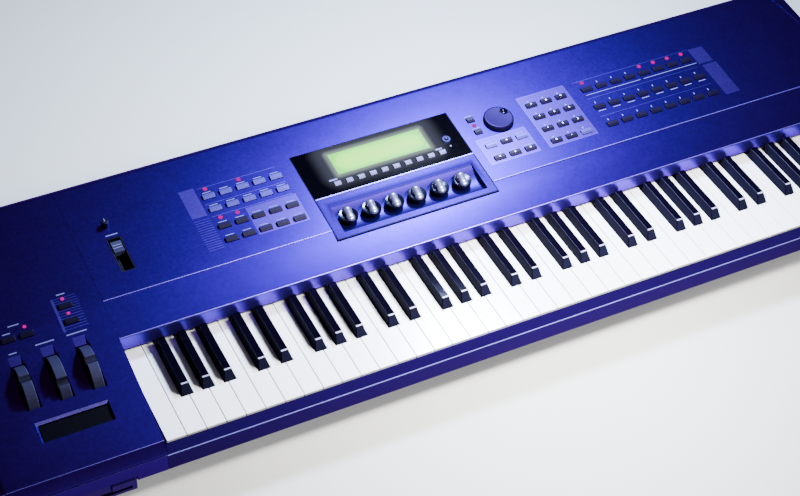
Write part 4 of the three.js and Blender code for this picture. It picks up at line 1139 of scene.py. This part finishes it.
def wheel(name, x, notch_angle):
    """A wheel with one finger notch across its tread, on its axle, with painted shade on its sides and notch.
    """
    cy, cz = WHEEL_SPOT.y, WHEEL_SPOT.z
    half, radius = 6.3, WHEEL_RADIUS
    body = new()
    add_turned(body, [(0, -half), (radius - 3, -half), (radius - 0.8, -half), (radius, -half + 0.9),
                      (radius, half - 0.9), (radius - 0.8, half), (0, half)], (x, cy, cz), "x", 128)
    piece = mesh_object(name + "_rim", body, KEYBOARD)
    notch = new()
    reach = radius + 4.5
    angle = math.radians(notch_angle)
    add_bar(notch, 7, -12, 12, (x, cy + reach * math.sin(angle), cz + reach * math.cos(angle)), "x")
    carve(piece, notch, KEYBOARD)
    finish(piece, WHEEL, name, "wheel_plastic", [name], bevel=0.4)
    hub = Vector((x, cy, cz))
    # The wheel's sides and the faces inside its tread in the dark copy: painted shade.
    repaint(piece, WHEEL_SHADE, lambda n, c: abs(n.x) > 0.9 or (c - hub).yz.length < radius - 0.8)
    axle = new()
    add_bar(axle, 3, -18.4, 18.4, (x, cy, cz), "x", 24)
    build(name + "_axle", axle, KEYBOARD, WHEEL, name, "wheel_plastic", bevel=0.3)


for (name, notch_angle), x in zip(WHEEL_NOTCHES.items(), WHEEL_X):
    wheel(name, x, notch_angle)


def touch_strip():
    (x0, x1), (y0, y1) = RIBBON_X, RIBBON_Y
    body = new()
    add_box(body, x0 - 2, x1 + 2, LOWER.v(y0 - 1), LOWER.v(y1 + 1), -4.4, -2.8)
    build("touch_strip", body, LOWER.matrix, STRIP_BLACK, "case", "black_plastic", "ribbon_strip", bevel=0.2)


def drive():
    """The disk drive, with its slot and the well of its eject button."""
    body = new()
    add_box(body, -139.5, -38.5, -2, 140, -59.5, -35.8)
    piece = mesh_object("drive_bezel", body, KEYBOARD)
    slot = new()
    add_box(slot, -134, -44, -3, 92, -55.4, -50.6)
    add_box(slot, -68.1, -40.9, -3, 14, -49, -36.7)
    carve(piece, slot, KEYBOARD)
    finish(piece, DRIVE_FACE, "case", "drive_face", ["floppy_drive"], bevel=0.4)
    button = new()
    add_prism(button, [(-4.4, -48.5), (5, -48.5), (5, -37.2), (-3, -37.2), (-5, -40), (-5, -47.6)], -67.6,
              -41.4, "x")
    build("eject_cap", button, KEYBOARD, DRIVE_FACE, "eject_button", "drive_face", "eject_button", bevel=0.4)


touch_strip()
drive()

# ---- Pieces that keep their frame shape ----

KEPT = (
    (BLACK_STEEL, "bottom_tray rear_panel"),
    (BARE_STEEL, "key_chassis wheel_bracket power_supply"),
    (CIRCUIT, "main_board"),
    (BLACK_PLASTIC, "lcd_module socket_board mains_inlet power_switch"),
    (FOOT_RUBBER, "foot_1 foot_2 foot_3 foot_4"),
)
for material, nodes in KEPT:
    for node in nodes.split():
        dress(node, material)

# ---- Floor, light and camera ----

FLOOR_REACH = 40
floor_mesh = new()
bmesh.ops.create_grid(floor_mesh, x_segments=2, y_segments=2, size=FLOOR_REACH)
floor = mesh_object("floor", floor_mesh, Matrix.Identity(4))
floor.data.materials.append(surface("floor_paper", (0.46, 0.47, 0.44), 0.7, shade=0.98, patch=1, grain=300,
                                    glow=(1, 1, 1), glow_strength=0.3))

world = bpy.data.worlds.new("studio")
bpy.context.scene.world = world
world.use_nodes = True
background = world.node_tree.nodes["Background"]
background.inputs["Color"].default_value = (1.0, 0.86, 1.0, 1)
background.inputs["Strength"].default_value = 0.014


def softbox(name, spot, target, size, energy, color):
    """A rectangular light that the camera doesn't see, turned towards a target."""
    data = bpy.data.lights.new(name, "AREA")
    data.shape = "RECTANGLE"
    data.size, data.size_y = size
    data.energy = energy
    data.color = color
    light = bpy.data.objects.new(name, data)
    light.location = spot
    light.rotation_euler = (Vector(target) - Vector(spot)).to_track_quat("-Z", "Y").to_euler()
    light.visible_camera = False
    bpy.context.scene.collection.objects.link(light)


PANEL_MIDDLE = (0.0, 0.05, 0.11)
softbox("key_light", (0.25, 0.34, 0.76), PANEL_MIDDLE, (0.14, 0.14), 52, (0.5, 0.66, 1))
softbox("front_light", (0.33, -0.75, 0.8), (0, -0.1, 0.08), (1.5, 0.12), 4, (1, 0.85, 1))
softbox("key_bed_light", (0.1, -0.24, 0.5), (0.02, -0.12, 0.07), (0.3, 0.1), 20, (1, 0.98, 0.95))

camera_data = bpy.data.cameras.new("camera")
camera_data.sensor_width = 36
camera_data.lens = 77.62
camera = bpy.data.objects.new("camera", camera_data)
LOOK_DOWN, HEADING, ROLL = 43.575, 27.73, 2.365
camera.matrix_world = (Matrix.Translation((-0.7856, -1.3806, 1.5295))
                       @ Matrix.Rotation(math.radians(-HEADING), 4, "Z")
                       @ Matrix.Rotation(math.radians(90 - LOOK_DOWN), 4, "X")
                       @ Matrix.Rotation(math.radians(ROLL), 4, "Z"))
bpy.context.scene.collection.objects.link(camera)
bpy.context.scene.camera = camera
